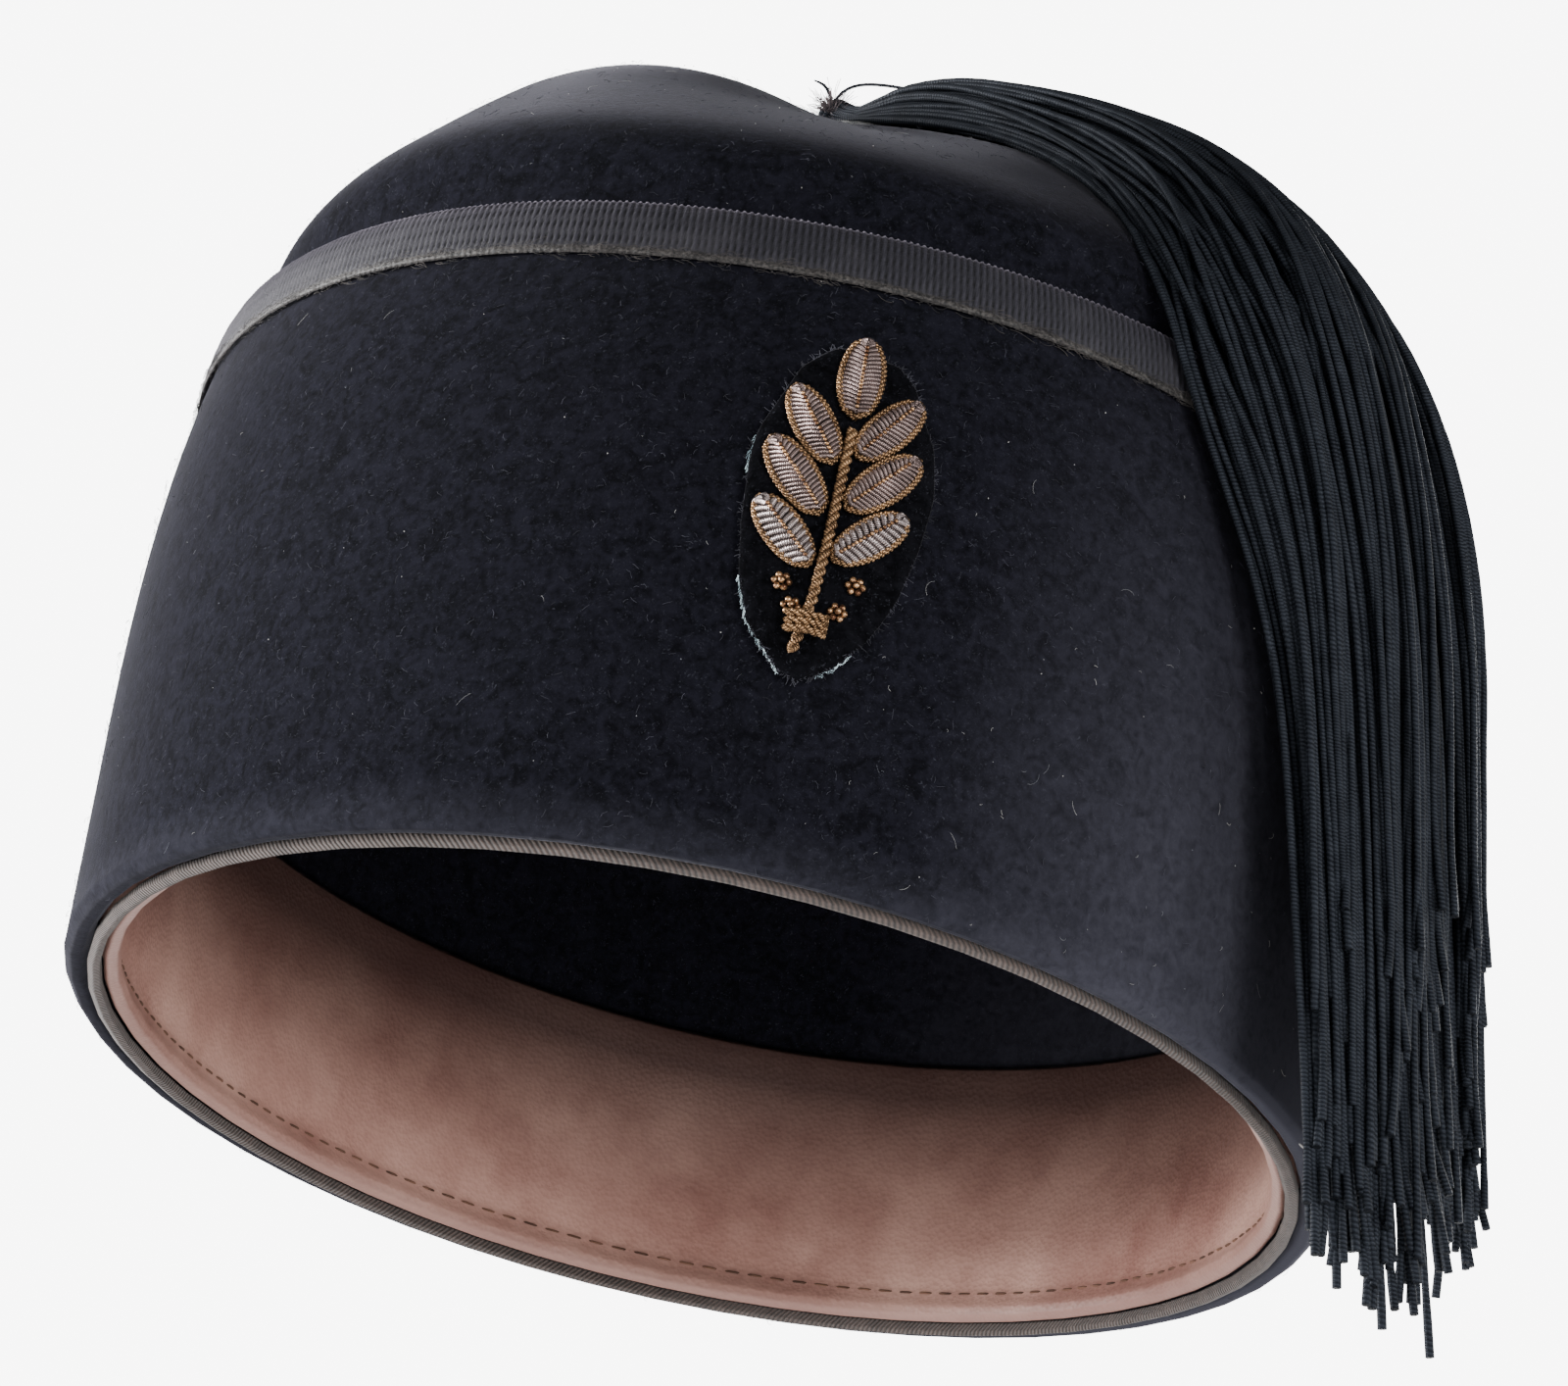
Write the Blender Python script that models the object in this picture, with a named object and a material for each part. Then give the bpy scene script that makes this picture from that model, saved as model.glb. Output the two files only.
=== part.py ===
"""A black felt fez with a deep turned-up cuff, a ribbon binding, a cord tassel and a wire-work badge.

Metres, +Z up. The origin is the middle of the mouth, on the plane of the lowest edge of the felt.
The front of the hat faces -Y, and the tassel falls over its +X side.
Angles go round the mouth from +X towards +Y, so the front is at -90 degrees.
"""

import math
import random
from collections import namedtuple

import bmesh
import bpy
from mathutils import Vector

# Felt
MOUTH_HALF_WIDTH = 0.0888
MOUTH_HALF_LENGTH = 0.1048
CUFF_HEIGHT = 0.0930
CROWN_HEIGHT = 0.1460
FELT = 0.0017
SLIT_AT_FOLD = 0.0004
FOLD_DROP = 0.0022
TIP_X = -0.0110
TIP_Y = -0.0200

# Clearances
FIT = 0.0003
DRAPE = 0.0012

# Ribbon binding on the cuff's top edge
RIBBON = 0.0005
RIBBON_OUTSIDE = 0.0100
RIBBON_INSIDE = 0.0060
RIBBON_ROLL = 0.0009

# Sweatband and the tape along the mouth
LEATHER = 0.0012
SWEATBAND_HEIGHT = 0.0450
SWEATBAND_RISE = 0.0006
SWEATBAND_ROLL = 0.0009
SWEATBAND_ROLL_HEIGHT = 0.0030
TAPE_WIDTH = 0.0014
TAPE_BELOW_FELT = 0.0009
TAPE_ABOVE_FELT = 0.0009

# Tassel
STEM_RADIUS = 0.0015
STEM_HEIGHT = 0.0040
STEM_REACH = 0.0045
TASSEL_THICKNESS = 0.0115
TASSEL_EDGE = 0.0016
TASSEL_DROP = 0.1150
TASSEL_LEAN = math.radians(11.6)
TASSEL_FRONT = math.radians(-63)
TASSEL_BACK = math.radians(22)
TASSEL_SLIDE = 0.0135
LOCK_RIDGE = 0.0011

# Badge
BADGE_X = 0.0030
BADGE_Z = 0.0490
PATCH = 0.0012
PATCH_HALF_WIDTH = 0.0118
PATCH_HALF_HEIGHT = 0.0250
LEAF_WIDTH = 0.0046
LEAF_PAD = 0.0013
WIRE_RADIUS = 0.0007
BERRY_RADIUS = 0.0012

# How finely the round forms are cut
AROUND = 52
LEAF_SIDES = 10
LOCKS = 12
COLUMNS_PER_LOCK = 4

CuffRow = namedtuple("CuffRow", "height left right front back")
CUFF_SECTIONS = [
    CuffRow(0.00, 1.000, 1.000, 1.000, 1.000),
    CuffRow(0.25, 1.015, 1.011, 1.015, 1.012),
    CuffRow(0.50, 1.034, 1.013, 0.992, 0.998),
    CuffRow(0.75, 1.033, 0.982, 0.952, 0.968),
    CuffRow(1.00, 1.000, 0.923, 0.873, 0.906),
]

CrownRow = namedtuple("CrownRow", "rise left right front back")
CROWN_SECTIONS = [
    CrownRow(0.00, 1.000, 1.000, 1.000, 1.000),
    CrownRow(0.20, 0.965, 0.985, 0.952, 0.980),
    CrownRow(0.45, 0.800, 0.900, 0.716, 0.900),
    CrownRow(0.70, 0.625, 0.720, 0.418, 0.750),
    CrownRow(0.88, 0.420, 0.450, 0.173, 0.520),
    CrownRow(1.00, 0.000, 0.000, 0.000, 0.000),
]
CROWN_SQUARENESS = 0.07
CUFF_SQUARENESS = 0.012

# Soft swells and hollows of the crown: place and spread as shares of the mouth, lift as a share of the rise
DentRow = namedtuple("DentRow", "name x y spread_x spread_y lift")
CROWN_DENTS = [
    DentRow("front left swell", -0.45, -0.43, 0.27, 0.28, 0.028),
    DentRow("hollow before the tassel", 0.09, -0.33, 0.25, 0.24, -0.025),
    DentRow("hollow behind the tip", 0.05, 0.30, 0.40, 0.25, -0.030),
]

CROWN_RISES = [0.0, 0.09, 0.19, 0.30, 0.42, 0.55, 0.67, 0.78, 0.87, 0.94, 0.98]
WALL_SHARES = [0.05, 0.25, 0.50, 0.75, 0.90]

# Tassel stations along its length: thickness and stand-off as shares of the thickness,
# how wide its front has fanned out, and how far it slid
TasselRow = namedtuple("TasselRow", "station thickness lift fan slide")
TASSEL_SECTIONS = [
    TasselRow(0.00, 0.22, 0.00, 0.55, 0.0),
    TasselRow(0.08, 0.42, 0.00, 0.66, 0.0),
    TasselRow(0.25, 0.66, 0.08, 0.86, 0.0),
    TasselRow(0.36, 0.80, 0.30, 0.96, 0.0),
    TasselRow(0.45, 0.70, 0.26, 1.00, 0.1),
    TasselRow(0.60, 0.44, 0.10, 1.00, 0.8),
    TasselRow(0.80, 0.28, 0.02, 1.00, 1.0),
    TasselRow(1.00, 0.14, 0.00, 1.00, 1.0),
]
LengthRow = namedtuple("LengthRow", "share length")
LOCK_LENGTHS = [
    LengthRow(0.00, 1.10),
    LengthRow(0.10, 1.15),
    LengthRow(0.22, 1.00),
    LengthRow(0.50, 0.88),
    LengthRow(1.00, 0.70),
]
TASSEL_REACHES = [0.06, 0.16, 0.30, 0.45, 0.62, 0.77, 0.90]
TASSEL_HANGING_STATIONS = 7
SHOULDER = 0.45

LeafRow = namedtuple("LeafRow", "x y turn length width")
BADGE_LEAVES = [
    LeafRow(0.00, 0.48, 92, 0.48, 1.15),
    LeafRow(-0.12, 0.20, 122, 0.47, 1.05),
    LeafRow(0.12, 0.26, 58, 0.46, 1.05),
    LeafRow(-0.14, -0.10, 128, 0.48, 1.10),
    LeafRow(0.12, -0.04, 52, 0.47, 1.10),
    LeafRow(-0.14, -0.40, 132, 0.44, 1.05),
    LeafRow(0.10, -0.34, 48, 0.44, 1.05),
]
PlaceRow = namedtuple("PlaceRow", "x y")
BADGE_STEM = [
    PlaceRow(-0.12, -0.90),
    PlaceRow(-0.03, -0.62),
    PlaceRow(-0.01, -0.30),
    PlaceRow(0.02, 0.05),
    PlaceRow(0.01, 0.42),
]
BADGE_BERRIES = [
    PlaceRow(-0.36, -0.52),
    PlaceRow(0.36, -0.46),
    PlaceRow(-0.22, -0.64),
    PlaceRow(0.24, -0.62),
]


def smooth_read(rows, column, share):
    """The value of one column of a table at a share of its first column, on a smooth curve."""
    places = [row[0] for row in rows]
    values = [getattr(row, column) for row in rows]
    share = min(max(share, places[0]), places[-1])
    index = max(k for k in range(len(places) - 1) if places[k] <= share)

    def slope(k):
        low, high = max(k - 1, 0), min(k + 1, len(places) - 1)
        return (values[high] - values[low]) / (places[high] - places[low])

    span = places[index + 1] - places[index]
    t = (share - places[index]) / span
    start = values[index] * (2 * t**3 - 3 * t**2 + 1) + slope(index) * span * (t**3 - 2 * t**2 + t)
    end = values[index + 1] * (3 * t**2 - 2 * t**3) + slope(index + 1) * span * (t**3 - t**2)
    return start + end


def slit(height):
    """The space between the cuff and the crown wall, wide enough at the top for the ribbon's inner leg."""
    at_top = 2 * FIT + RIBBON + FIT
    share = min(max(height / CUFF_HEIGHT, 0.0), 1.0)
    return SLIT_AT_FOLD + (at_top - SLIT_AT_FOLD) * min(1.0, share * 1.15)


def cuff_face(angle, height):
    share = height / CUFF_HEIGHT
    side = "right" if math.cos(angle) > 0 else "left"
    end = "back" if math.sin(angle) > 0 else "front"
    x = MOUTH_HALF_WIDTH * smooth_read(CUFF_SECTIONS, side, share) * math.cos(angle)
    y = MOUTH_HALF_LENGTH * smooth_read(CUFF_SECTIONS, end, share) * math.sin(angle)
    square = 1 + CUFF_SQUARENESS * share * math.sin(2 * angle) ** 2
    return Vector((x * square, y * square, height))


def outward(face, angle, along, step):
    """The outward direction of a face that is given by an angle and a place along its wall."""
    turn = math.radians(1)
    across = face(angle + turn, along) - face(angle - turn, along)
    up = face(angle, along + step) - face(angle, along - step)
    return across.cross(up).normalized()


def cuff(angle, height, offset):
    """A point off the cuff's outer face: positive offsets are outside it, negative ones inside."""
    inner = min(max(height, 0.002), CUFF_HEIGHT - 0.002)
    return cuff_face(angle, height) + outward(cuff_face, angle, inner, 0.001) * offset


def crown_lift(x, y):
    total = 0.0
    for dent in CROWN_DENTS:
        away_x = (x / MOUTH_HALF_WIDTH - dent.x) / dent.spread_x
        away_y = (y / MOUTH_HALF_LENGTH - dent.y) / dent.spread_y
        total += dent.lift * math.exp(-(away_x**2) - away_y**2)
    return total * (CROWN_HEIGHT - CUFF_HEIGHT)


def crown_reach(angle, rise):
    """How far out the crown reaches at a rise, as a share of its base ring."""
    side = "right" if math.cos(angle) > 0 else "left"
    end = "back" if math.sin(angle) > 0 else "front"
    reach = smooth_read(CROWN_SECTIONS, side, rise) * math.cos(angle) ** 2
    reach += smooth_read(CROWN_SECTIONS, end, rise) * math.sin(angle) ** 2
    return reach * (1 + CROWN_SQUARENESS * rise * math.sin(2 * angle) ** 2)


def rise_at(angle, reach):
    """The rise at which the crown reaches this far out, found by halving."""
    low, high = 0.0, 1.0
    for _ in range(30):
        middle = (low + high) / 2
        if crown_reach(angle, middle) > reach:
            low = middle
        else:
            high = middle
    return (low + high) / 2


def crown_face(angle, rise):
    """The crown above the cuff: rise is 0 at the cuff's top and 1 at the tip."""
    base = cuff(angle, CUFF_HEIGHT, -(FELT + slit(CUFF_HEIGHT)))
    reach = crown_reach(angle, rise)
    shift = rise * min(1.0, 4 * rise)
    x = TIP_X * shift + base.x * reach
    y = TIP_Y * shift + base.y * reach
    z = CUFF_HEIGHT + (CROWN_HEIGHT - CUFF_HEIGHT) * rise
    return Vector((x, y, z + crown_lift(x, y) * min(1.0, 4 * rise)))


def crown(angle, rise, offset):
    inner = min(max(rise, 0.02), 0.97)
    return crown_face(angle, rise) + outward(crown_face, angle, inner, 0.01) * offset


def make_material(name, colour, roughness, metallic=0.0):
    material = bpy.data.materials.new(name)
    material.use_nodes = True
    shader = material.node_tree.nodes["Principled BSDF"]
    shader.inputs["Base Color"].default_value = (*colour, 1.0)
    shader.inputs["Roughness"].default_value = roughness
    shader.inputs["Metallic"].default_value = metallic
    return material


def add_object(name, bm, material):
    """Makes the bmesh an object whose faces point outwards."""
    bmesh.ops.recalc_face_normals(bm, faces=bm.faces)
    mesh = bpy.data.meshes.new(name)
    bm.to_mesh(mesh)
    bm.free()
    mesh.shade_smooth()
    mesh.set_sharp_from_angle(angle=math.radians(50))
    mesh.materials.append(material)
    obj = bpy.data.objects.new(name, mesh)
    bpy.context.scene.collection.objects.link(obj)
    return obj


def skin(bm, rings, closed=False):
    """Faces between each ring of vertices and the next, and from the last to the first if closed."""
    pairs = list(zip(rings, rings[1:]))
    if closed:
        pairs.append((rings[-1], rings[0]))
    for lower, upper in pairs:
        for k in range(len(lower)):
            after = (k + 1) % len(lower)
            bm.faces.new((lower[k], lower[after], upper[after], upper[k]))


def cap(bm, ring, point):
    """A fan of faces from a ring of vertices to one point."""
    centre = bm.verts.new(point)
    for k in range(len(ring)):
        bm.faces.new((ring[k], ring[(k + 1) % len(ring)], centre))


def angles():
    return [2 * math.pi * k / AROUND for k in range(AROUND)]


def cuff_ring(bm, height, offset):
    return [bm.verts.new(cuff(angle, height, offset)) for angle in angles()]


def crown_ring(bm, rise, offset):
    return [bm.verts.new(crown(angle, rise, offset)) for angle in angles()]


def band(name, section, material):
    """A closed band round the hat, from the heights and offsets of its section's corners."""
    bm = bmesh.new()
    skin(bm, [cuff_ring(bm, height, offset) for height, offset in section], closed=True)
    return add_object(name, bm, material)


def inner_face(height):
    """How far inside the cuff's outer face the felt's inner face lies."""
    return -(2 * FELT + slit(height))


def inner_clear(height):
    """Where a piece inside the hat may start, clear of the felt's inner face."""
    return inner_face(height) - FIT


def make_crown_with_cuff(material):
    """One piece of felt: the crown, its wall down to the mouth, and the cuff turned up outside."""
    bm = bmesh.new()
    wall = [share * CUFF_HEIGHT for share in WALL_SHARES]
    rings = [crown_ring(bm, rise, 0.0) for rise in reversed(CROWN_RISES)]
    rings += [cuff_ring(bm, height, -(FELT + slit(height))) for height in reversed(wall)]
    rings += [cuff_ring(bm, height, -FELT) for height in wall]
    rings.append(cuff_ring(bm, CUFF_HEIGHT - FELT / 4, -FELT))
    rings.append(cuff_ring(bm, CUFF_HEIGHT, -FELT / 2))
    rings.append(cuff_ring(bm, CUFF_HEIGHT - FELT / 4, 0.0))
    rings += [cuff_ring(bm, height, 0.0) for height in reversed(wall)]
    thickness = -inner_face(0.0)
    for turn in (20, 65, 115, 160):
        across = (1 - math.cos(math.radians(turn))) / 2
        drop = FOLD_DROP * (1 - math.sin(math.radians(turn)))
        rings.append(cuff_ring(bm, drop, -thickness * across))
    rings += [cuff_ring(bm, height, inner_face(height)) for height in wall]
    rings += [crown_ring(bm, rise, -FELT) for rise in CROWN_RISES[1:]]
    skin(bm, rings)
    tip = crown_face(0.0, 1.0)
    cap(bm, rings[0], tip)
    cap(bm, rings[-1], tip - Vector((0, 0, FELT)))
    return add_object("crown_with_cuff", bm, material)


def make_ribbon_binding(material):
    """Ribbon folded over the cuff's top edge, with a longer leg outside than inside."""
    outside = FIT
    inside = -(FELT + FIT)
    low, low_inside = CUFF_HEIGHT - RIBBON_OUTSIDE, CUFF_HEIGHT - RIBBON_INSIDE
    half_way, shoulder = CUFF_HEIGHT - RIBBON_OUTSIDE / 2, CUFF_HEIGHT - FELT / 4
    middle, crest = -FELT / 2, CUFF_HEIGHT + FIT
    section = [
        (low, outside),
        (low, outside + RIBBON),
        (half_way, outside + RIBBON + RIBBON_ROLL / 2),
        (shoulder, outside + RIBBON + RIBBON_ROLL / 3),
        (crest + RIBBON, middle),
        (shoulder, inside - RIBBON),
        (low_inside, inside - RIBBON),
        (low_inside, inside),
        (shoulder, inside),
        (crest, middle),
        (shoulder, outside),
        (half_way, outside),
    ]
    return band("ribbon_binding", section, material)


def make_sweatband(material):
    """Leather inside the mouth, its lower edge rolled over a thin reed."""
    top = SWEATBAND_HEIGHT
    roll = SWEATBAND_ROLL_HEIGHT
    low = SWEATBAND_RISE
    edge = inner_clear(0.0) - TAPE_WIDTH - FIT
    section = [
        (low, edge - LEATHER / 2),
        (low + roll / 4, edge),
        (low + roll * 0.7, edge),
        (low + roll * 1.6, inner_clear(roll)),
        (top / 2, inner_clear(top / 2)),
        (top, inner_clear(top)),
        (top, inner_clear(top) - LEATHER),
        (top / 2, inner_clear(top / 2) - LEATHER),
        (low + roll * 1.8, edge - LEATHER / 2),
        (low + roll * 0.7, edge - LEATHER - SWEATBAND_ROLL),
        (low + roll / 4, edge - LEATHER - SWEATBAND_ROLL * 0.7),
    ]
    return band("sweatband", section, material)


def make_rim_tape(material):
    """A narrow twill tape sewn along the mouth, between the felt's edge and the leather."""
    outer = inner_clear(0.0)
    middle = outer - TAPE_WIDTH / 2
    section = [
        (-TAPE_BELOW_FELT, middle),
        (-TAPE_BELOW_FELT / 2, outer),
        (TAPE_ABOVE_FELT, outer),
        (TAPE_ABOVE_FELT, outer - TAPE_WIDTH),
        (-TAPE_BELOW_FELT / 2, outer - TAPE_WIDTH),
    ]
    return band("rim_tape", section, material)


def tube(name, points, radius, material, resolution=2):
    """A round cord through the points, as a curve with filled ends."""
    curve = bpy.data.curves.new(name, "CURVE")
    curve.dimensions = "3D"
    curve.bevel_depth = radius
    curve.bevel_resolution = resolution
    curve.use_fill_caps = True
    spline = curve.splines.new("POLY")
    spline.points.add(len(points) - 1)
    for spline_point, place in zip(spline.points, points):
        spline_point.co = (*place, 1.0)
    curve.materials.append(material)
    obj = bpy.data.objects.new(name, curve)
    bpy.context.scene.collection.objects.link(obj)
    return obj


def tip_place(across, above):
    """A point over the crown's tip, towards the tassel's side."""
    return crown_face(0.0, 1.0) + Vector((across, 0.0, above))


def make_tassel_stem(material):
    """The short cord that comes out of the tip and bends over into the tassel's head."""
    points = []
    for k in range(5):
        turn = math.radians(90) * k / 4
        across = STEM_REACH * (1 - math.cos(turn))
        above = FIT + STEM_RADIUS + STEM_HEIGHT * math.sin(turn)
        points.append(tip_place(across, above))
    points.insert(0, tip_place(0.0, FIT))
    return tube("tassel_stem", points, STEM_RADIUS, material)


def off_the_wall(point, clearance):
    """The point, moved straight out where it would be nearer the cuff than the clearance."""
    angle = math.atan2(point.y / MOUTH_HALF_LENGTH, point.x / MOUTH_HALF_WIDTH)
    wall = cuff(angle, min(max(point.z, 0.0), CUFF_HEIGHT), clearance)
    reach = math.hypot(wall.x, wall.y)
    distance = math.hypot(point.x, point.y)
    if distance >= reach:
        return point
    return Vector((point.x * reach / distance, point.y * reach / distance, point.z))


def column_angle(share, reach):
    """Which way round the crown a tassel column lies: the front columns fan out as they come down."""
    fan = smooth_read(TASSEL_SECTIONS, "fan", SHOULDER * reach)
    turn = TASSEL_FRONT + (TASSEL_BACK - TASSEL_FRONT) * share
    return turn * fan if turn < 0 else turn


def tassel_path(share, drop):
    """The underside of the tassel along one column, from its head to its tip.

    It follows the crown from the tip down to the cuff, and then hangs plumb. The hat was worn tilted
    by TASSEL_LEAN towards the tassel's side, so plumb leans out from the hat's own axis by as much.
    """
    points = []
    for reach in TASSEL_REACHES:
        angle = column_angle(share, reach)
        lift = TASSEL_THICKNESS * smooth_read(TASSEL_SECTIONS, "lift", SHOULDER * reach)
        points.append(crown(angle, rise_at(angle, reach), DRAPE + lift * rounded(share)))
    clearance = FIT + RIBBON + RIBBON_ROLL + DRAPE
    start = cuff(column_angle(share, 1.0), CUFF_HEIGHT, clearance)
    slide = Vector((TASSEL_SLIDE, 0.0, 0.0)) * (1 - share) ** 2
    plumb = Vector((math.sin(TASSEL_LEAN), 0.0, -math.cos(TASSEL_LEAN)))
    for k in range(TASSEL_HANGING_STATIONS + 1):
        along = k / TASSEL_HANGING_STATIONS
        station = SHOULDER + (1 - SHOULDER) * along
        lift = TASSEL_THICKNESS * smooth_read(TASSEL_SECTIONS, "lift", station) * rounded(share)
        point = start + plumb * drop * along + tassel_outward(share, 1.0) * lift
        point += slide * smooth_read(TASSEL_SECTIONS, "slide", station)
        points.append(off_the_wall(point, clearance))
    return points


def tassel_outward(share, reach):
    """The direction in which the tassel is thick: off the crown, turning level where it hangs."""
    angle = column_angle(share, reach)
    level = outward(cuff_face, angle, CUFF_HEIGHT / 2, 0.001)
    level = Vector((level.x, level.y, 0.0)).normalized()
    if reach >= 1.0:
        return level
    off_crown = outward(crown_face, angle, max(rise_at(angle, reach), 0.05), 0.01)
    return off_crown.lerp(level, reach**3).normalized()


def rounded(share):
    """Full across the tassel and falling to nothing at its front and back edges."""
    return 1 - abs(2 * share - 1) ** 5


def tassel_thickness(share, station):
    ridge = abs(math.sin(math.pi * share * LOCKS)) * LOCK_RIDGE
    body = TASSEL_THICKNESS * smooth_read(TASSEL_SECTIONS, "thickness", station)
    return TASSEL_EDGE + (body + ridge) * rounded(share)


def tassel_drops():
    """How far each column hangs below the cuff's top: each lock has its own length and narrows to its tip."""
    chance = random.Random(11)
    drops = []
    for lock in range(LOCKS):
        longest = smooth_read(LOCK_LENGTHS, "length", (lock + 0.5) / LOCKS) + chance.uniform(-0.04, 0.04)
        for part in range(COLUMNS_PER_LOCK):
            inside = math.sin(math.pi * part / COLUMNS_PER_LOCK)
            drops.append(TASSEL_DROP * longest * (0.87 + 0.13 * inside))
    drops.append(drops[0])
    return drops


def make_tassel(material):
    """The draped tassel as one body: a row of locks side by side, joined into a backing from the head down."""
    bm = bmesh.new()
    columns = LOCKS * COLUMNS_PER_LOCK
    reaches = TASSEL_REACHES + [1.0] * (TASSEL_HANGING_STATIONS + 1)
    stations = [SHOULDER * reach for reach in TASSEL_REACHES]
    for k in range(TASSEL_HANGING_STATIONS + 1):
        stations.append(SHOULDER + (1 - SHOULDER) * k / TASSEL_HANGING_STATIONS)
    under, over = [], []
    for column, drop in enumerate(tassel_drops()):
        share = column / columns
        inner, outer = [], []
        for point, reach, station in zip(tassel_path(share, drop), reaches, stations):
            thickness = tassel_thickness(share, station)
            inner.append(bm.verts.new(point))
            outer.append(bm.verts.new(point + tassel_outward(share, reach) * thickness))
        under.append(inner)
        over.append(outer)
    last = len(stations) - 1
    for left in range(columns):
        for k in range(last):
            bm.faces.new((under[left][k], under[left][k + 1], under[left + 1][k + 1], under[left + 1][k]))
            bm.faces.new((over[left][k], over[left + 1][k], over[left + 1][k + 1], over[left][k + 1]))
        for k in (0, last):
            bm.faces.new((under[left][k], under[left + 1][k], over[left + 1][k], over[left][k]))
    for column in (0, columns):
        for k in range(last):
            bm.faces.new((under[column][k], over[column][k], over[column][k + 1], under[column][k + 1]))
    return add_object("tassel", bm, material)


def badge_place(across, up, offset):
    """A point of the badge on the cuff: across and up are shares of the patch's half sizes."""
    height = BADGE_Z + up * PATCH_HALF_HEIGHT
    x = BADGE_X + across * PATCH_HALF_WIDTH
    half = MOUTH_HALF_WIDTH * smooth_read(CUFF_SECTIONS, "right", height / CUFF_HEIGHT)
    return cuff(-math.pi / 2 + math.asin(x / half), height, offset)


def padded(name, outline, steps, material):
    """A padded shape on the badge: rings of its outline, each at a share of its size and an offset."""
    bm = bmesh.new()
    middle_x = sum(x for x, _ in outline) / len(outline)
    middle_y = sum(y for _, y in outline) / len(outline)
    rings = []
    for size, offset in steps[1:-1]:
        ring = []
        for x, y in outline:
            place = badge_place(middle_x + (x - middle_x) * size, middle_y + (y - middle_y) * size, offset)
            ring.append(bm.verts.new(place))
        rings.append(ring)
    skin(bm, rings)
    cap(bm, rings[0], badge_place(middle_x, middle_y, steps[0][1]))
    cap(bm, rings[-1], badge_place(middle_x, middle_y, steps[-1][1]))
    return add_object(name, bm, material)


def patch_outline():
    """An upright oval, cut by hand round the spray, so that its edge is a little uneven."""
    outline = []
    for k in range(20):
        turn = 2 * math.pi * k / 20
        uneven = 1 + 0.035 * math.sin(3 * turn + 0.6) + 0.025 * math.sin(7 * turn)
        outline.append((uneven * math.cos(turn), uneven * math.sin(turn)))
    return outline


def make_badge_patch(material):
    low, high = FIT, FIT + PATCH
    steps = [(0, low), (0.5, low), (1.0, low), (1.0, high), (0.5, high), (0, high)]
    return padded("badge_patch", patch_outline(), steps, material)


def leaf_outline(row):
    """A pointed oval that starts at the row's place and runs along its turn."""
    turn = math.radians(row.turn)
    length = row.length * PATCH_HALF_HEIGHT
    half_width = row.width * LEAF_WIDTH / 2
    outline = []
    for k in range(LEAF_SIDES):
        round_turn = 2 * math.pi * k / LEAF_SIDES
        along = length * (1 - math.cos(round_turn)) / 2
        side = half_width * math.sin(round_turn) * (1.1 - 0.25 * along / length)
        x = row.x * PATCH_HALF_WIDTH + along * math.cos(turn) - side * math.sin(turn)
        y = row.y * PATCH_HALF_HEIGHT + along * math.sin(turn) + side * math.cos(turn)
        outline.append((x / PATCH_HALF_WIDTH, y / PATCH_HALF_HEIGHT))
    return outline


def make_badge_leaves(material):
    low = FIT + PATCH + FIT
    steps = [(0, low), (1.0, low), (0.97, low + 0.4 * LEAF_PAD), (0.6, low + 0.9 * LEAF_PAD), (0, low + LEAF_PAD)]
    for number, row in enumerate(BADGE_LEAVES, 1):
        padded(f"badge_leaf_{number}", leaf_outline(row), steps, material)


def make_badge_stem(material):
    offset = FIT + PATCH + FIT + WIRE_RADIUS
    points = [badge_place(row.x, row.y, offset) for row in BADGE_STEM]
    return tube("badge_stem", points, WIRE_RADIUS, material)


def make_badge_tie(material):
    """Two turns of cord that bind the foot of the stem, lying over it."""
    offset = FIT + PATCH + FIT + WIRE_RADIUS
    over = offset + 2 * WIRE_RADIUS + FIT
    route = [(-0.20, -0.74, offset), (-0.12, -0.74, over), (0.04, -0.72, over), (0.12, -0.72, offset)]
    points = [badge_place(x, y, away) for x, y, away in route]
    return tube("badge_tie", points, WIRE_RADIUS, material)


def make_badge_berries(material):
    low = FIT + PATCH + FIT
    size_x = BERRY_RADIUS / PATCH_HALF_WIDTH
    size_y = BERRY_RADIUS / PATCH_HALF_HEIGHT
    profile = [(0, 0.0), (0.5, 0.06), (0.9, 0.5), (0.95, 1.1), (0.6, 1.75), (0, 2.0)]
    steps = [(size, low + level * BERRY_RADIUS) for size, level in profile]
    for number, row in enumerate(BADGE_BERRIES, 1):
        outline = []
        for k in range(8):
            turn = 2 * math.pi * k / 8
            outline.append((row.x + size_x * math.cos(turn), row.y + size_y * math.sin(turn)))
        padded(f"badge_berry_{number}", outline, steps, material)


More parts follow.
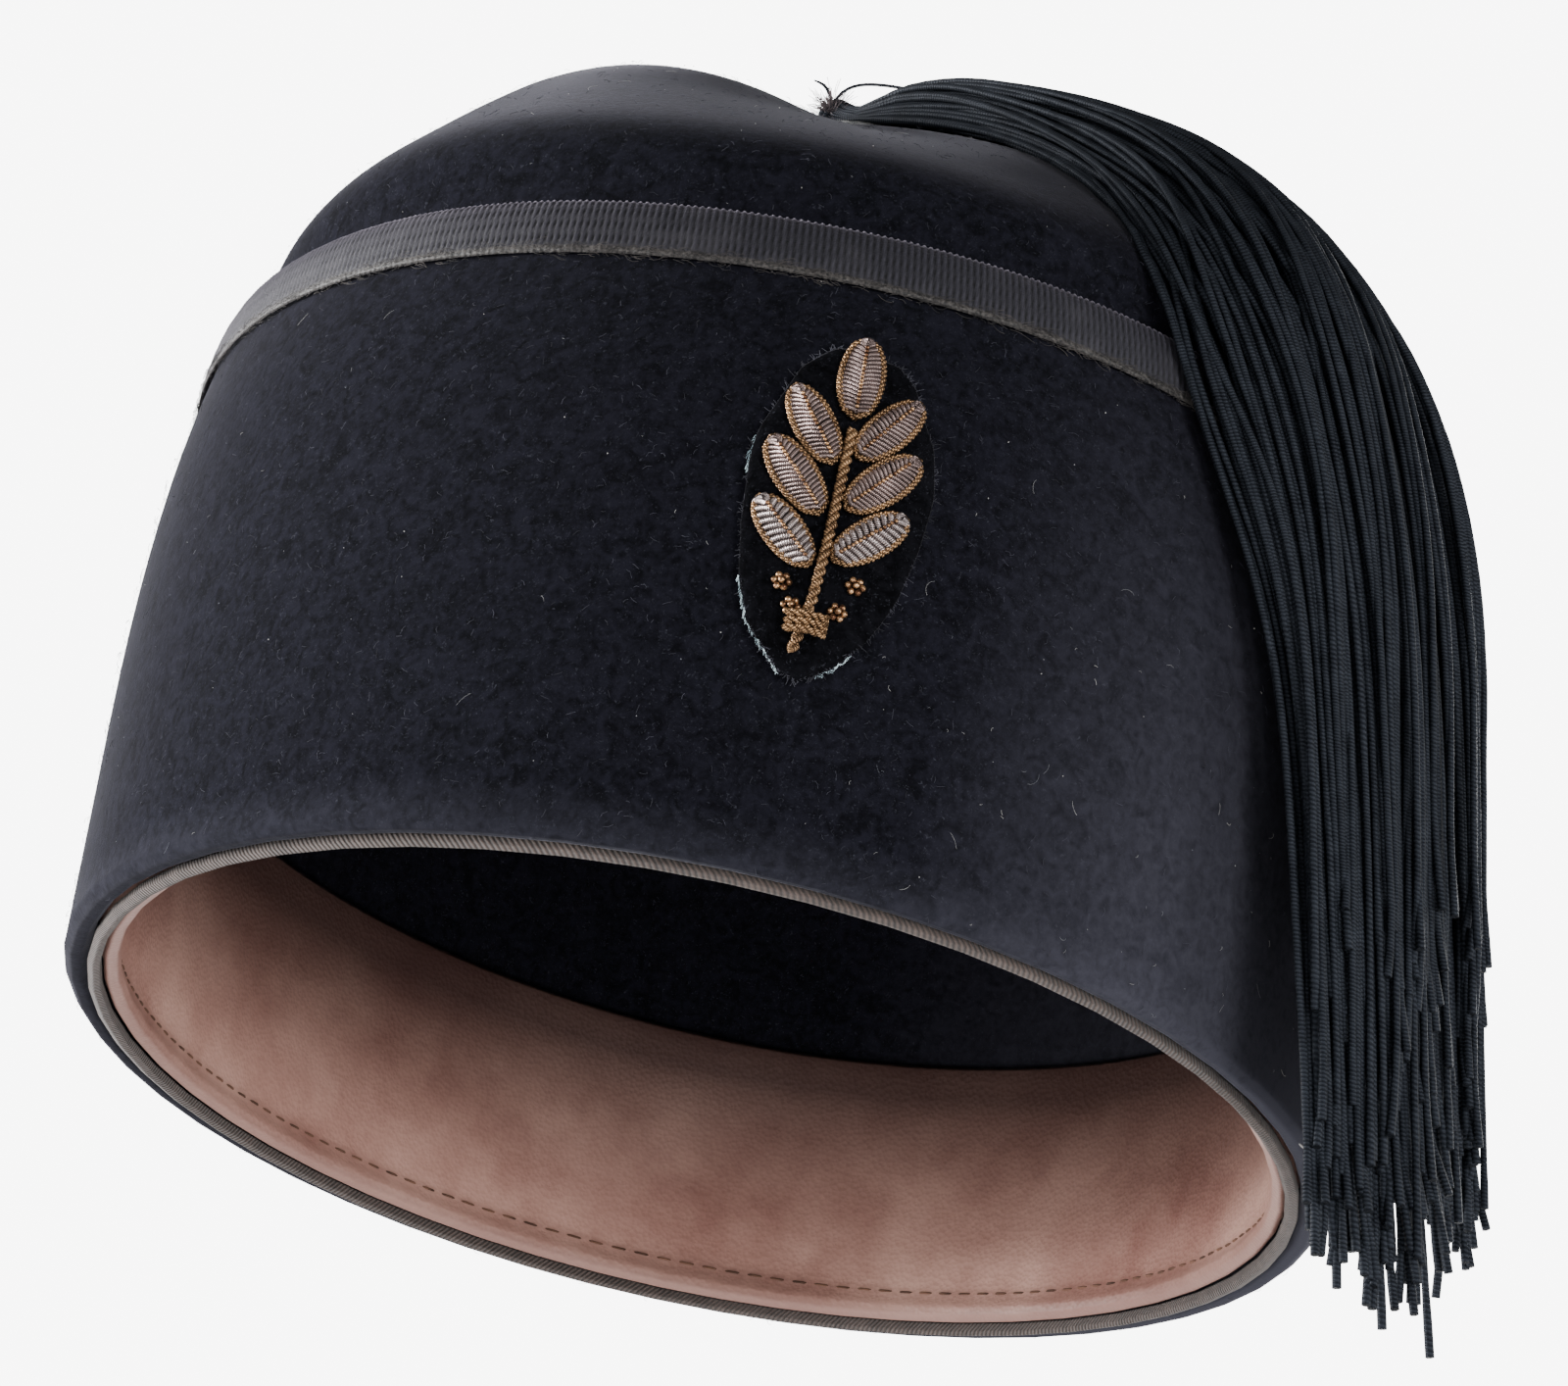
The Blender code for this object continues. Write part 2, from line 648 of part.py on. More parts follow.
def main():
    for obj in list(bpy.data.objects):
        bpy.data.objects.remove(obj)
    felt = make_material("black felt", (0.012, 0.012, 0.016), 0.95)
    make_crown_with_cuff(felt)
    make_ribbon_binding(make_material("charcoal grosgrain", (0.030, 0.030, 0.034), 0.7))
    make_sweatband(make_material("tan leather", (0.42, 0.24, 0.17), 0.55))
    make_rim_tape(make_material("grey brown twill", (0.20, 0.16, 0.13), 0.85))
    cord = make_material("black rayon cord", (0.008, 0.008, 0.010), 0.45)
    make_tassel_stem(cord)
    make_tassel(cord)
    make_badge_patch(make_material("black patch felt", (0.010, 0.010, 0.012), 0.95))
    make_badge_leaves(make_material("bronze bullion", (0.16, 0.10, 0.07), 0.4, 0.8))
    gold = make_material("gold brown cord", (0.20, 0.11, 0.04), 0.45, 0.7)
    make_badge_stem(gold)
    make_badge_tie(gold)
    make_badge_berries(make_material("bronze purl beads", (0.22, 0.10, 0.05), 0.4, 0.8))


main()
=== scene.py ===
"""The looks of a black felt fez: napped felt, ribbed ribbon, leather, cord tassel and wire-work badge.

Metres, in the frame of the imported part: +Z up, the front of the hat towards -Y, the tassel over +X.
"""

import math
import random
from types import SimpleNamespace

import bmesh
import bpy
from mathutils import Matrix, Vector
from mathutils.bvhtree import BVHTree


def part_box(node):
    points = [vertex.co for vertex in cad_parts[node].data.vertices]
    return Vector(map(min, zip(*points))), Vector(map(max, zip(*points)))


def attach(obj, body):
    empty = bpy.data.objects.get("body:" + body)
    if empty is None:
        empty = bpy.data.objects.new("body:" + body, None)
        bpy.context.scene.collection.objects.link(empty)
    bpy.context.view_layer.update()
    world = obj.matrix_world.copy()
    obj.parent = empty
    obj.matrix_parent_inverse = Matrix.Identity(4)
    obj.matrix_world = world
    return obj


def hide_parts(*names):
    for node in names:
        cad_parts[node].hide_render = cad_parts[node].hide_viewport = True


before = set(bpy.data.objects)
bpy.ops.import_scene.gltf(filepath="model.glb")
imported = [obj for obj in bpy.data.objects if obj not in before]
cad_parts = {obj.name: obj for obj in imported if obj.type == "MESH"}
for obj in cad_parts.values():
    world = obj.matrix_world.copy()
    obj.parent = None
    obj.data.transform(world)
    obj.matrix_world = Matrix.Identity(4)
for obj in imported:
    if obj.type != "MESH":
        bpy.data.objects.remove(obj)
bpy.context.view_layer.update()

MM = 0.001

# The photograph's camera, as it stands in the hat's own frame
LENS_MM = 112.5
SENSOR_MM = 36.0
HAT_TILT = math.radians(11.57)
CAMERA_TURN = math.radians(3.85)
CAMERA_RISE = math.radians(-21.35)
CAMERA_DISTANCE = 0.680
FRAME_ACROSS = -0.0135
FRAME_UP = -0.0587

# Strength of the room's light, and of the glow behind the hat
ROOM_LIGHT = 0.75
GLOW_LIGHT = 8.0
# Where each soft light stands, how wide it is and its power in watts. All of them face the hat's middle.
LIGHTS = {
    "soft_left": ((-1.05, 0.1, 0.08), 0.5, 56.0),
    "soft_left_front": ((-0.8, -0.9, 0.1), 0.5, 3.0),
    "soft_right": ((0.5, -1.1, 0.05), 0.5, 14.5),
    "soft_side": ((1.2, -0.3, 0.0), 0.5, 10.0),
    "soft_front": ((0.1, -1.1, -0.3), 0.6, 2.0),
}
HAT_MIDDLE = Vector((0.0, 0.0, 0.07))
FLOOR_REACH = 4.0
FLOOR_HEIGHT = -0.62

# How far off a ray starts that looks at the hat from all round, at its badge, at its rim, and at the tassel
# from inside
ALL_ROUND = 0.4
IN_FRONT = 0.3
BESIDE_RIM = 0.05
INSIDE_TASSEL = 0.06

# Felt: its brushed-up fibres, the lint on it, and the one pale chip at its rim. Wool is about 0.02 mm thick
# and is drawn a little thicker, so that it shows.
FELT_MIDDLE = Vector((0.0, 0.0, 0.055))
NAP_FIBRES = 6000
NAP_LENGTH = (0.5 * MM, 1.3 * MM)
NAP_LIFT = (0.1, 0.45)
NAP_RADIUS = 0.03 * MM
LINT_HAIRS = 300
LINT_RADIUS = 0.02 * MM
LINT_LIFT = 0.2 * MM
# The shortest lint hair, and how much longer than it the longest one is
LINT_LENGTH = (0.4 * MM, 2.2 * MM)
LINT_SPECKS = 420
SPECK_SIZE = (0.04 * MM, 0.1 * MM)
SPECK_HEIGHT = 0.15 * MM
# Parts of the felt: turns round the hat, and heights as the sines of rises above the felt's middle
WHOLE_FELT = {"turns": (0.0, math.tau), "heights": (-0.56, 1.0)}
LOW_RIGHT = {"turns": (math.radians(-85), math.radians(-20)), "heights": (-0.52, -0.1)}
CHIP_PLACE = Vector((78.5, -43.5, 0.6)) * MM
CHIP_RADIUS = 0.2 * MM

# Grosgrain ribbon: the rounded CAD binding has this many columns, each of them cut into quarters of a rib
RIBBON_COLUMNS = 104
QUARTER_RIBS = 23
RIBS = RIBBON_COLUMNS * QUARTER_RIBS / 4
RIB_DEPTH = 0.27 * MM
RIB_SLANT = math.tan(math.radians(6)) / (90 * MM)
SELVEDGE = 1.4 * MM
# Broken threads: the heights over the ribbon's lower edge between which they lie, and their lengths
FUZZ_THREADS = 2600
FUZZ_RADIUS = 0.03 * MM
FUZZ_HEIGHT = (-0.35 * MM, 1.4 * MM)
FUZZ_LENGTH = (0.6 * MM, 2.4 * MM)

# Sweatband and tape, whose twill leans round the hat by a share of its height
BAND_RADIUS = 90 * MM
STITCHES = 168
STITCH_LENGTH = 2.0 * MM
STITCH_RADIUS = 0.19 * MM
STITCH_HEIGHT = 5.6 * MM
TAPE_LENGTH = 590 * MM
TWILL_PITCH = 0.75 * MM
TWILL_LEAN = 0.8
# How far the leather and the tape are drawn out to what lies round them, and below what height
LEATHER_REACH = 0.25 * MM
TAPE_REACH = 0.4 * MM
DRAWN_BELOW = 4 * MM

# Tassel: the directions straight down as the hat is worn and level away from it, the height from which the
# crown is looked at, and the rises above that, in degrees, at which a strand crosses the crown
PLUMB = Vector((math.sin(HAT_TILT), 0.0, -math.cos(HAT_TILT)))
OUTWARDS = Vector((math.cos(HAT_TILT), 0.0, math.sin(HAT_TILT)))
CROWN_MIDDLE = 45 * MM
CROWN_STATIONS = [87, 84, 78, 71, 63, 55, 47, 39, 32]
# How far the head swells upwards and forwards at a station, in mm
HEAD_SWELL = {87: (2.0, 3.5), 84: (4.4, 7.0), 78: (1.8, 7.0), 71: (0.8, 3.5)}
# The azimuths, in degrees, and the drops, in mm, at which the CAD tassel is looked for
AZIMUTHS = range(-120, 80)
DROPS = range(12, 140, 2)
LEAST_DROP = 60 * MM
USUAL_DROP = 90 * MM
CLUMPS = 60
STRANDS_PER_CLUMP = 9
# How far into the tassel from its inner side the innermost clump lies, over how much of its depth clumps are
# spread, and the step from one clump to the next as a part of that
INNERMOST = 0.12
DEPTH_SPREAD = 0.73
GOLDEN_PART = 0.618034
STRAND_RADIUS = 0.5 * MM
STRAND_SPACING = 3.6 * MM
STRAND_CLEARANCE = 0.75 * MM
SHOULDER_HEIGHT = 90 * MM
HANGING_STEP = 9.0 * MM
MOST_STEPS = 40
# The shares of the CAD tassel's drop at which strands end, from its outside to its inside
LENGTH_STEPS = [0.66, 0.74, 0.81, 0.87, 0.91, 0.94, 0.96]
# How far a strand lies from its clump's middle, in clumps across the fan and as a share of the depth
OWN_PLACE = 1.2
OWN_DEPTH = 0.35
# How far a clump and a strand in it wander across the fan and in depth, as shares, and sway as they hang
CLUMP_DRIFT = 0.034
OWN_DRIFT = 0.025
DEPTH_DRIFT = 0.08
CLUMP_SWAY = 0.9 * MM
OWN_SWAY = 0.75 * MM
SWAY_WAY = Vector((0.35, 1.0, 0.0))
# How far a strand's end bends aside, and the share of that at its last three points, the last one first
END_BEND = 1.2 * MM
END_SHARES = (1.0, 0.55, 0.2)

# Root of the tassel, with places in mm from the crown's tip: the end of a loose loop, and a whisker
STUB_ENDS = 8
LOOP_END = [(8.0, -1.4, 7.2), (13.0, -2.6, 6.6), (19.0, -4.0, 5.0)]
WHISKER = [(0.5, 0, 2), (-0.3, -0.2, 4.0), (-1.6, -0.4, 5.6), (-3.2, -0.5, 6.0)]
STRAY_RADIUS = 0.24 * MM
ROOT_FIBRES = 420
ROOT_FIBRE_RADIUS = 0.04 * MM
# The shortest frayed fibre, and how much longer than it the longest one is
ROOT_FIBRE_LENGTH = (0.6 * MM, 2.8 * MM)

# Badge
CORD_RADIUS = 0.42 * MM
STEM_PITCH = 2.7 * MM
TIE_RADIUS = CORD_RADIUS * 0.8
TIE_PITCH = 2.1 * MM
TIE_TURNS = 3
EDGE_RADIUS = 0.26 * MM
EDGE_PITCH = 1.4 * MM
BEAD_RADIUS = 0.27 * MM
BERRY_BEAD = 0.46 * MM
# A berry's ring of beads and the height of the bead on top of it, in radii of one bead
BERRY_RING = 1.9
BERRY_TOP = 1.9
BULLION_RADIUS = 0.30 * MM
PURL_RADIUS = BULLION_RADIUS * 1.5
LEAF_PAD = 1.0 * MM
# How high over the badge's ground the spray's cords, coils and veins lie
STEM_HEIGHT = 0.9 * MM
TIE_HEIGHT = 2.0 * MM
EDGE_HEIGHT = 0.55 * MM
COIL_HEIGHT = 0.35 * MM
VEIN_HEIGHT = COIL_HEIGHT + LEAF_PAD
LEAF_NODES = [f"badge_leaf_{number}" for number in range(1, 8)]
BULLION_LEAVES = 5
BERRY_NODES = [f"badge_berry_{number}" for number in range(1, 5)]
# How many straight snips cut the badge's felt backing from flat felt
SNIPS = 18
# The backing's pale threads: the turns, in degrees, between which they lie, and how many there are
PATCH_THREADS = ((160, 172, 24), (208, 256, 90), (280, 300, 30))
PATCH_THREAD_RADIUS = 0.04 * MM
PATCH_FIBRES = 420
PATCH_FIBRE_RADIUS = 0.035 * MM
PATCH_FIBRE_LENGTH = (0.3 * MM, 1.0 * MM)

# Loose fibres and threads: their dark and light colours, and their roughness
FIBRES = {
    # Tips of the felt's own wool, which let light through and look greyer than the felt
    "wool_nap": ("#141419", "#2E2E37", 0.9),
    # Cotton lint from handling, the palest thing on the felt
    "pale_lint": ("#484A50", "#95938F", 0.8),
    # Broken rayon at the ribbon's edge, brown-grey with dust
    "ribbon_threads": ("#161516", "#3D3937", 0.8),
    # Waxed thread, brown and a little smoother than the rest
    "brown_thread": ("#3E2A20", "#6A4C3C", 0.7),
    # Rayon frayed out of the cords, dull where they are glossy
    "frayed_rayon": ("#1E1B1D", "#75696B", 0.8),
    # Cotton threads from under the badge, pale and bluish
    "backing_threads": ("#5E7078", "#B9CBD0", 0.8),
    # Wool at the backing's cut edge, dull and nearly black
    "cut_felt_fibres": ("#17171B", "#3A3A42", 0.9),
}
# Wound wires: their dark and light colours, the pitch and depth of their turns, metallic and roughness.
# The turns of real ones are too fine to show, so their pitch is drawn coarser.
WIRES = {
    # Bullion of bronzed wire, dulled to a pinkish brown
    "bronze_bullion": ("#352A28", "#9C8985", 0.26 * MM, 0.04 * MM, 0.9, 0.3),
    # Purl of silvered wire, painted bright on its turns as a glint, and dark between them as tarnish and
    # painted shade
    "silver_purl": ("#3A3030", "#B4A8A6", 0.30 * MM, 0.05 * MM, 0.95, 0.3),
    # Cord wrapped in gilt thread that is rubbed down to a warm brown
    "gold_brown_cord": ("#301E14", "#A8845F", 0.32 * MM, 0.05 * MM, 0.85, 0.34),
}

# The inputs of a map range, in the order of a row here: a value, the range it has and the range it gets.
# A row without the last two gets 0 to 1.
RANGE = ("Value", "From Min", "From Max", "To Min", "To Max")


def linear(colour):
    """An sRGB hex colour as the linear values that Blender's sockets take."""
    channels = [int(colour[k : k + 2], 16) / 255 for k in (1, 3, 5)]
    return (*(c / 12.92 if c <= 0.04045 else ((c + 0.055) / 1.055) ** 2.4 for c in channels), 1.0)


def add_node(tree, kind, settings=None, inputs=None, output=0):
    """Adds a node with its settings and gives one of its outputs.

    Each input takes a value, a hex colour or a link from another node's output.
    """
    made = tree.nodes.new("ShaderNode" + kind)
    for name, value in (settings or {}).items():
        setattr(made, name, value)
    for name, value in (inputs or {}).items():
        if isinstance(value, bpy.types.NodeSocket):
            tree.links.new(value, made.inputs[name])
        else:
            made.inputs[name].default_value = linear(value) if isinstance(value, str) else value
    return made.outputs[output]


def start_material(name, **values):
    """A material with these values on its shader's own sockets, its tree and its object coordinates."""
    material = bpy.data.materials.new(name)
    material.use_nodes = True
    tree = material.node_tree
    for socket, value in values.items():
        value = linear(value) if isinstance(value, str) else value
        tree.nodes["Principled BSDF"].inputs[socket.replace("_", " ")].default_value = value
    return material, tree, add_node(tree, "TexCoord", output="Object")


def per_mm(size):
    """The scale of a pattern on metre coordinates whose features are this many millimetres apart."""
    return 1000.0 / size


def layered(tree, colour, *layers):
    """A colour with others laid over it, each as strongly as a value and its range, a row of RANGE, say."""
    for over, *row in layers:
        share = add_node(tree, "MapRange", inputs=dict(zip(RANGE, row)))
        colour = add_node(tree, "Mix", {"data_type": "RGBA"}, {0: share, 6: colour, 7: over}, 2)
    return colour


def finish_surface(tree, colour, height=None, depth=0.0):
    """Links a colour, and a height that raises the surface by this many metres, to the shader."""
    shader = tree.nodes["Principled BSDF"]
    tree.links.new(colour, shader.inputs["Base Color"])
    if height is not None:
        bump = add_node(tree, "Bump", inputs={"Height": height, "Distance": depth, "Strength": 1.0})
        tree.links.new(bump, shader.inputs["Normal"])


def napped_felt(name, dark, light, dust, sheen):
    """Wool felt, fulled and brushed: black straight on, grey where its short nap is seen edge on.

    It is painted dusty near the rim, and painted lighter low down on the tassel's side as painted light from
    the front right. Its fibres are too fine to show, so the nap is drawn as tufts that are 0.55, 0.9 and 2.6
    mm apart.
    """
    material, tree, place = start_material(
        name,
        Roughness=0.95,
        Sheen_Weight=sheen,
        Sheen_Roughness=0.3,
        Sheen_Tint="#C8C7D3",
        Specular_IOR_Level=0.01,
    )
    fleck, nap, tufts = (
        add_node(tree, "TexNoise", inputs={"Vector": place, "Scale": per_mm(size), **form})
        for size, form in (
            (0.55, {"Detail": 2.0, "Distortion": 2.0}),
            (0.9, {"Detail": 4.0, "Roughness": 0.7}),
            (2.6, {"Detail": 3.0, "Distortion": 1.2}),
        )
    )
    across, height = (
        add_node(tree, "SeparateXYZ", inputs={"Vector": place}, output=axis) for axis in ("X", "Z")
    )
    at_rim, to_side, low_down = (
        add_node(tree, "MapRange", inputs=dict(zip(RANGE, row)))
        for row in (
            (height, 7 * MM, -1 * MM, 0.0, 0.35),
            (across, 20 * MM, 80 * MM),
            (height, 90 * MM, 10 * MM, 0.1, 1.2),
        )
    )
    # The second share is dust near the rim, plus painted light low down on the tassel's side
    both, dust_and_painted_light = (
        add_node(tree, "Math", {"operation": "MULTIPLY_ADD"}, dict(enumerate(factors)))
        for factors in ((nap, 0.8, tufts), (to_side, low_down, at_rim))
    )
    # By this share the colour goes towards the dust colour: dust near the rim, painted light on the tassel's
    # side
    worn = add_node(tree, "Math", {"operation": "MULTIPLY"}, {0: dust_and_painted_light, 1: both})
    layers = (light, both, 0.7, 1.08), ("#303138", fleck, 0.62, 0.74, 0.0, 0.5), (dust, worn, 0.0, 1.0)
    finish_surface(tree, layered(tree, dark, *layers), nap, 0.06 * MM)
    return material


def plain_fibre(name):
    """Loose fibre or thread, too thin to show a surface: only its colour varies from hair to hair."""
    dark, light, roughness = FIBRES[name]
    material, tree, place = start_material(name, Roughness=roughness, Specular_IOR_Level=0.2)
    spots = add_node(tree, "TexNoise", inputs={"Vector": place, "Scale": per_mm(6), "Detail": 2.0})
    finish_surface(tree, layered(tree, dark, (light, spots, 0.35, 0.65)))
    return material


def grosgrain_ribbon(bottom):
    """Rayon grosgrain: weft cords painted lighter on their ribs as a painted highlight and darker in the
    grooves between them as painted shade, and a dusty, fuzzed lower edge.

    Its threads are too fine to show, so they are drawn 0.4 mm apart.
    """
    material, tree, place = start_material(
        "grosgrain_ribbon",
        Roughness=0.6,
        Sheen_Weight=0.24,
        Sheen_Roughness=0.3,
        Sheen_Tint="#C9BFD0",
        Specular_IOR_Level=0.25,
    )
    rib = add_node(tree, "Attribute", {"attribute_name": "rib"}, output="Fac")
    height = add_node(tree, "SeparateXYZ", inputs={"Vector": place}, output="Z")
    threads, dust = (
        add_node(tree, "TexNoise", inputs={"Vector": place, "Scale": per_mm(size), **form})
        for size, form in ((0.4, {"Detail": 3.0, "Roughness": 0.6}), (8, {"Detail": 5.0}))
    )
    # Painted highlight on each rib and painted shade in the grooves between them
    painted_rib_light_and_shade = add_node(tree, "Math", {"operation": "MULTIPLY_ADD"}, {0: threads, 1: 0.5, 2: rib})
    frayed = layered(tree, "#121111", ("#393634", threads, 0.4, 0.62))
    weave = layered(
        tree,
        "#030304",
        ("#2A2930", painted_rib_light_and_shade, 0.3, 1.35),
        ("#403E42", dust, 0.5, 0.75, 0.0, 0.22),
        (frayed, height, bottom + 1.7 * MM, bottom + 1.3 * MM),
    )
    finish_surface(tree, weave, threads, 0.1 * MM)
    return material


def skiver_leather():
    """Thin sheepskin skiver, dyed tan and rubbed: soft satin grain, its roll grimy and painted darker as
    painted shade, and painted shade deeper inside.
    """
    material, tree, place = start_material("skiver_leather", Roughness=0.52, Specular_IOR_Level=0.35)
    grain = add_node(tree, "TexVoronoi", {"feature": "F1"}, {"Vector": place, "Scale": per_mm(0.7)})
    cloudy = {"Vector": place, "Scale": per_mm(26), "Detail": 6.0, "Roughness": 0.65}
    stain = add_node(tree, "TexNoise", inputs=cloudy)
    height = add_node(tree, "SeparateXYZ", inputs={"Vector": place}, output="Z")
    tan = layered(
        tree,
        "#8A6056",
        ("#C0988A", stain, 0.32, 0.68),
        # The roll: grime, and painted shade that darkens it against the light it faces
        ("#6A4C44", height, 5.0 * MM, 1.5 * MM, 0.0, 0.85),
        # Painted shade: darker higher up inside the mouth, where the head shades it
        ("#2A1B19", height, 8 * MM, 38 * MM, 0.0, 0.92),
    )
    finish_surface(tree, tan, grain, 0.07 * MM)
    return material


def finish_turns(tree, place, phase, dark, light, wear_size, detail, strength, depth):
    """Finishes a surface that rises and falls with a phase: painted lighter on its turns as a painted
    highlight, darker between them as painted shade, and lighter where it is worn.
    """
    multiply_add = {"operation": "MULTIPLY_ADD"}
    angle = add_node(tree, "Math", multiply_add, phase)
    turns = add_node(tree, "Math", {"operation": "SINE"}, {0: angle})
    wear = add_node(tree, "TexNoise", inputs={"Vector": place, "Scale": per_mm(wear_size), "Detail": detail})
    # Painted highlight on each turn and painted shade between turns, with wear laid over them
    share = add_node(tree, "Math", multiply_add, {0: turns, 1: strength, 2: wear})
    finish_surface(tree, layered(tree, dark, (light, share, 0.0, 1.0)), turns, depth)


def twill_cotton():
    """Narrow cotton twill tape, worn: slanting ribs of grey-brown thread, a little fuzzy.

    The ribs go round the hat and lean over with height. They are drawn coarser than real ones, to show.
    """
    material, tree, place = start_material("twill_cotton", Roughness=0.9, Sheen_Weight=0.08)
    angle = add_node(tree, "TexGradient", {"gradient_type": "RADIAL"}, {"Vector": place}, "Fac")
    height = add_node(tree, "SeparateXYZ", inputs={"Vector": place}, output="Z")
    per_height = TWILL_LEAN / TWILL_PITCH * math.tau
    lean = add_node(tree, "Math", {"operation": "MULTIPLY"}, {0: height, 1: per_height})
    phase = {0: angle, 1: round(TAPE_LENGTH / TWILL_PITCH) * math.tau, 2: lean}
    # The ribs are painted lighter on their crests and darker between them, as painted highlight and shade
    finish_turns(tree, place, phase, "#1B1614", "#493D38", 3, 4.0, 0.35, 0.1 * MM)
    return material


def wound_cord(name, dark, light, pitch, depth, **values):
    """Thread or wire wound round a core: fine turns across the cord, read from its own length and girth."""
    material, tree, place = start_material(name, **values)
    cord = add_node(tree, "UVMap", {"uv_map": "cord"})
    along, girth = (
        add_node(tree, "SeparateXYZ", inputs={"Vector": cord}, output=axis) for axis in ("X", "Y")
    )
    phase = {0: along, 1: math.tau / pitch, 2: girth}
    finish_turns(tree, place, phase, dark, light, 2.5, 3.0, 0.3, depth)
    return material


def rayon_chainette():
    """Knitted rayon cord, black: a soft cool gloss along each strand, broken up by its stitches."""
    gloss = {"Roughness": 0.5, "Specular_IOR_Level": 0.13, "Specular_Tint": "#B4BCD0"}
    # Its stitches are painted lighter where they rise and darker between them, as painted highlight and
    # shade
    return wound_cord("rayon_chainette", "#08090C", "#212429", 0.62 * MM, 0.04 * MM, **gloss)


def wound_wire(name):
    """Fine metal wire or thread in a tight coil: painted glints on each turn, and dark between them as
    tarnish and painted shade.
    """
    dark, light, pitch, depth, metallic, roughness = WIRES[name]
    return wound_cord(name, dark, light, pitch, depth, Metallic=metallic, Roughness=roughness)


def bead_bronze():
    """Cut beads of bronzed metal, darker where the lacquer is thick and bright where it is worn."""
    material, tree, place = start_material("bead_bronze", Metallic=0.9, Roughness=0.28)
    wear = add_node(tree, "TexNoise", inputs={"Vector": place, "Scale": per_mm(0.8), "Detail": 2.0})
    finish_surface(tree, layered(tree, "#4A3020", ("#A8835F", wear, 0.4, 0.6)))
    return material


def add_object(name, data):
    """An object in the scene for a mesh, a curve, a camera or a light."""
    obj = bpy.data.objects.new(name, data)
    bpy.context.scene.collection.objects.link(obj)
    return obj


def add_piece(name, mesh, material, replaced=()):
    """Puts a finished mesh in the scene as a piece that rides on the hat."""
    mesh.materials.clear()
    mesh.materials.append(material)
    mesh.shade_smooth()
    obj = add_object(name, mesh)
    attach(obj, "root")
    if replaced:
        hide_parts(*replaced)
    return obj


def finished_mesh(name, bm):
    """A mesh of what a bmesh holds, after which the bmesh is freed."""
    mesh = bpy.data.meshes.new(name)
    bm.to_mesh(mesh)
    bm.free()
    return mesh


def evaluated_mesh(obj):
    """The mesh of an object with its modifiers or its bevel, after which the object is removed."""
    graph = bpy.context.evaluated_depsgraph_get()
    mesh = bpy.data.meshes.new_from_object(obj.evaluated_get(graph))
    bpy.data.objects.remove(obj)
    return mesh


def rounded_copy(node, levels, firm_below=None, firmness=0.75):
    """A copy of a CAD node with its corners joined, its triangles paired and its faces rounded.

    Edges that lie wholly below the height firm_below keep most of their corner.
    """
    bm = bmesh.new()
    bm.from_mesh(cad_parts[node].data)
    bmesh.ops.remove_doubles(bm, verts=bm.verts, dist=0.01 * MM)
    bmesh.ops.join_triangles(
        bm, faces=bm.faces, angle_face_threshold=math.pi, angle_shape_threshold=math.pi
    )
    if firm_below is not None:
        crease = bm.edges.layers.float.new("crease_edge")
        for edge in bm.edges:
            if max(vert.co.z for vert in edge.verts) < firm_below:
                edge[crease] = firmness
    obj = add_object(node + "_rounded", finished_mesh(node + "_rounded", bm))
    rounding = obj.modifiers.new("rounding", "SUBSURF")
    rounding.levels = levels
    rounding.render_levels = levels
    return evaluated_mesh(obj)


def surface_of(mesh):
    """A mesh's surface, to be asked where a ray meets it."""
    bm = bmesh.new()
    bm.from_mesh(mesh)
    surface = BVHTree.FromBMesh(bm)
    bm.free()
    return surface


def cad_surface(node):
    """A CAD node's surface, to be asked where a ray meets it."""
    return surface_of(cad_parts[node].data)


def pointing(turn, rise=0.0):
    """A direction that is turned this far round the hat's axis from +X and rises this far above level."""
    return Vector((math.cos(turn) * math.cos(rise), math.sin(turn) * math.cos(rise), math.sin(rise)))


def add_cords(name, routes, radius, material, replaced=(), sides=1, taper=None):
    """Round cords along routes of points, as one piece whose map says how far along a cord each point lies.

    taper gives the share of the radius at each point of a route, from its number and the route's length.
    """
    curve = bpy.data.curves.new(name, "CURVE")
    curve.dimensions = "3D"
    curve.bevel_depth = radius
    curve.bevel_resolution = sides
    curve.use_fill_caps = True
    longest = 0.0
    for route in routes:
        spline = curve.splines.new("POLY")
        spline.points.add(len(route) - 1)
        for number, (point, place) in enumerate(zip(spline.points, route)):
            point.co = (*place, 1.0)
            point.radius = taper(number, len(route)) if taper else 1.0
        spline.use_smooth = True
        longest = max(longest, sum((b - a).length for a, b in zip(route, route[1:])))
    mesh = evaluated_mesh(add_object(name, curve))
    uv_map = mesh.uv_layers[0] if mesh.uv_layers else mesh.uv_layers.new()
    uv_map.name = "cord"
    for loop in uv_map.data:
        loop.uv = (loop.uv[0] * longest, loop.uv[1] * math.tau)
    return add_piece(name, mesh, material, replaced)


def tip_taper(number, count):
    """Full thickness along the cord, narrowing over its first and last stretch."""
    from_end = min(number, count - 1 - number)
    return min(1.0, 0.45 + 0.3 * from_end)


def strand_taper(number, count):
    """Squeezed together in the root, full from the crown on, and a little frayed open at the cut end."""
    if number >= count - 2:
        return 1.18
    return min(1.0, 0.3 + 0.18 * number)


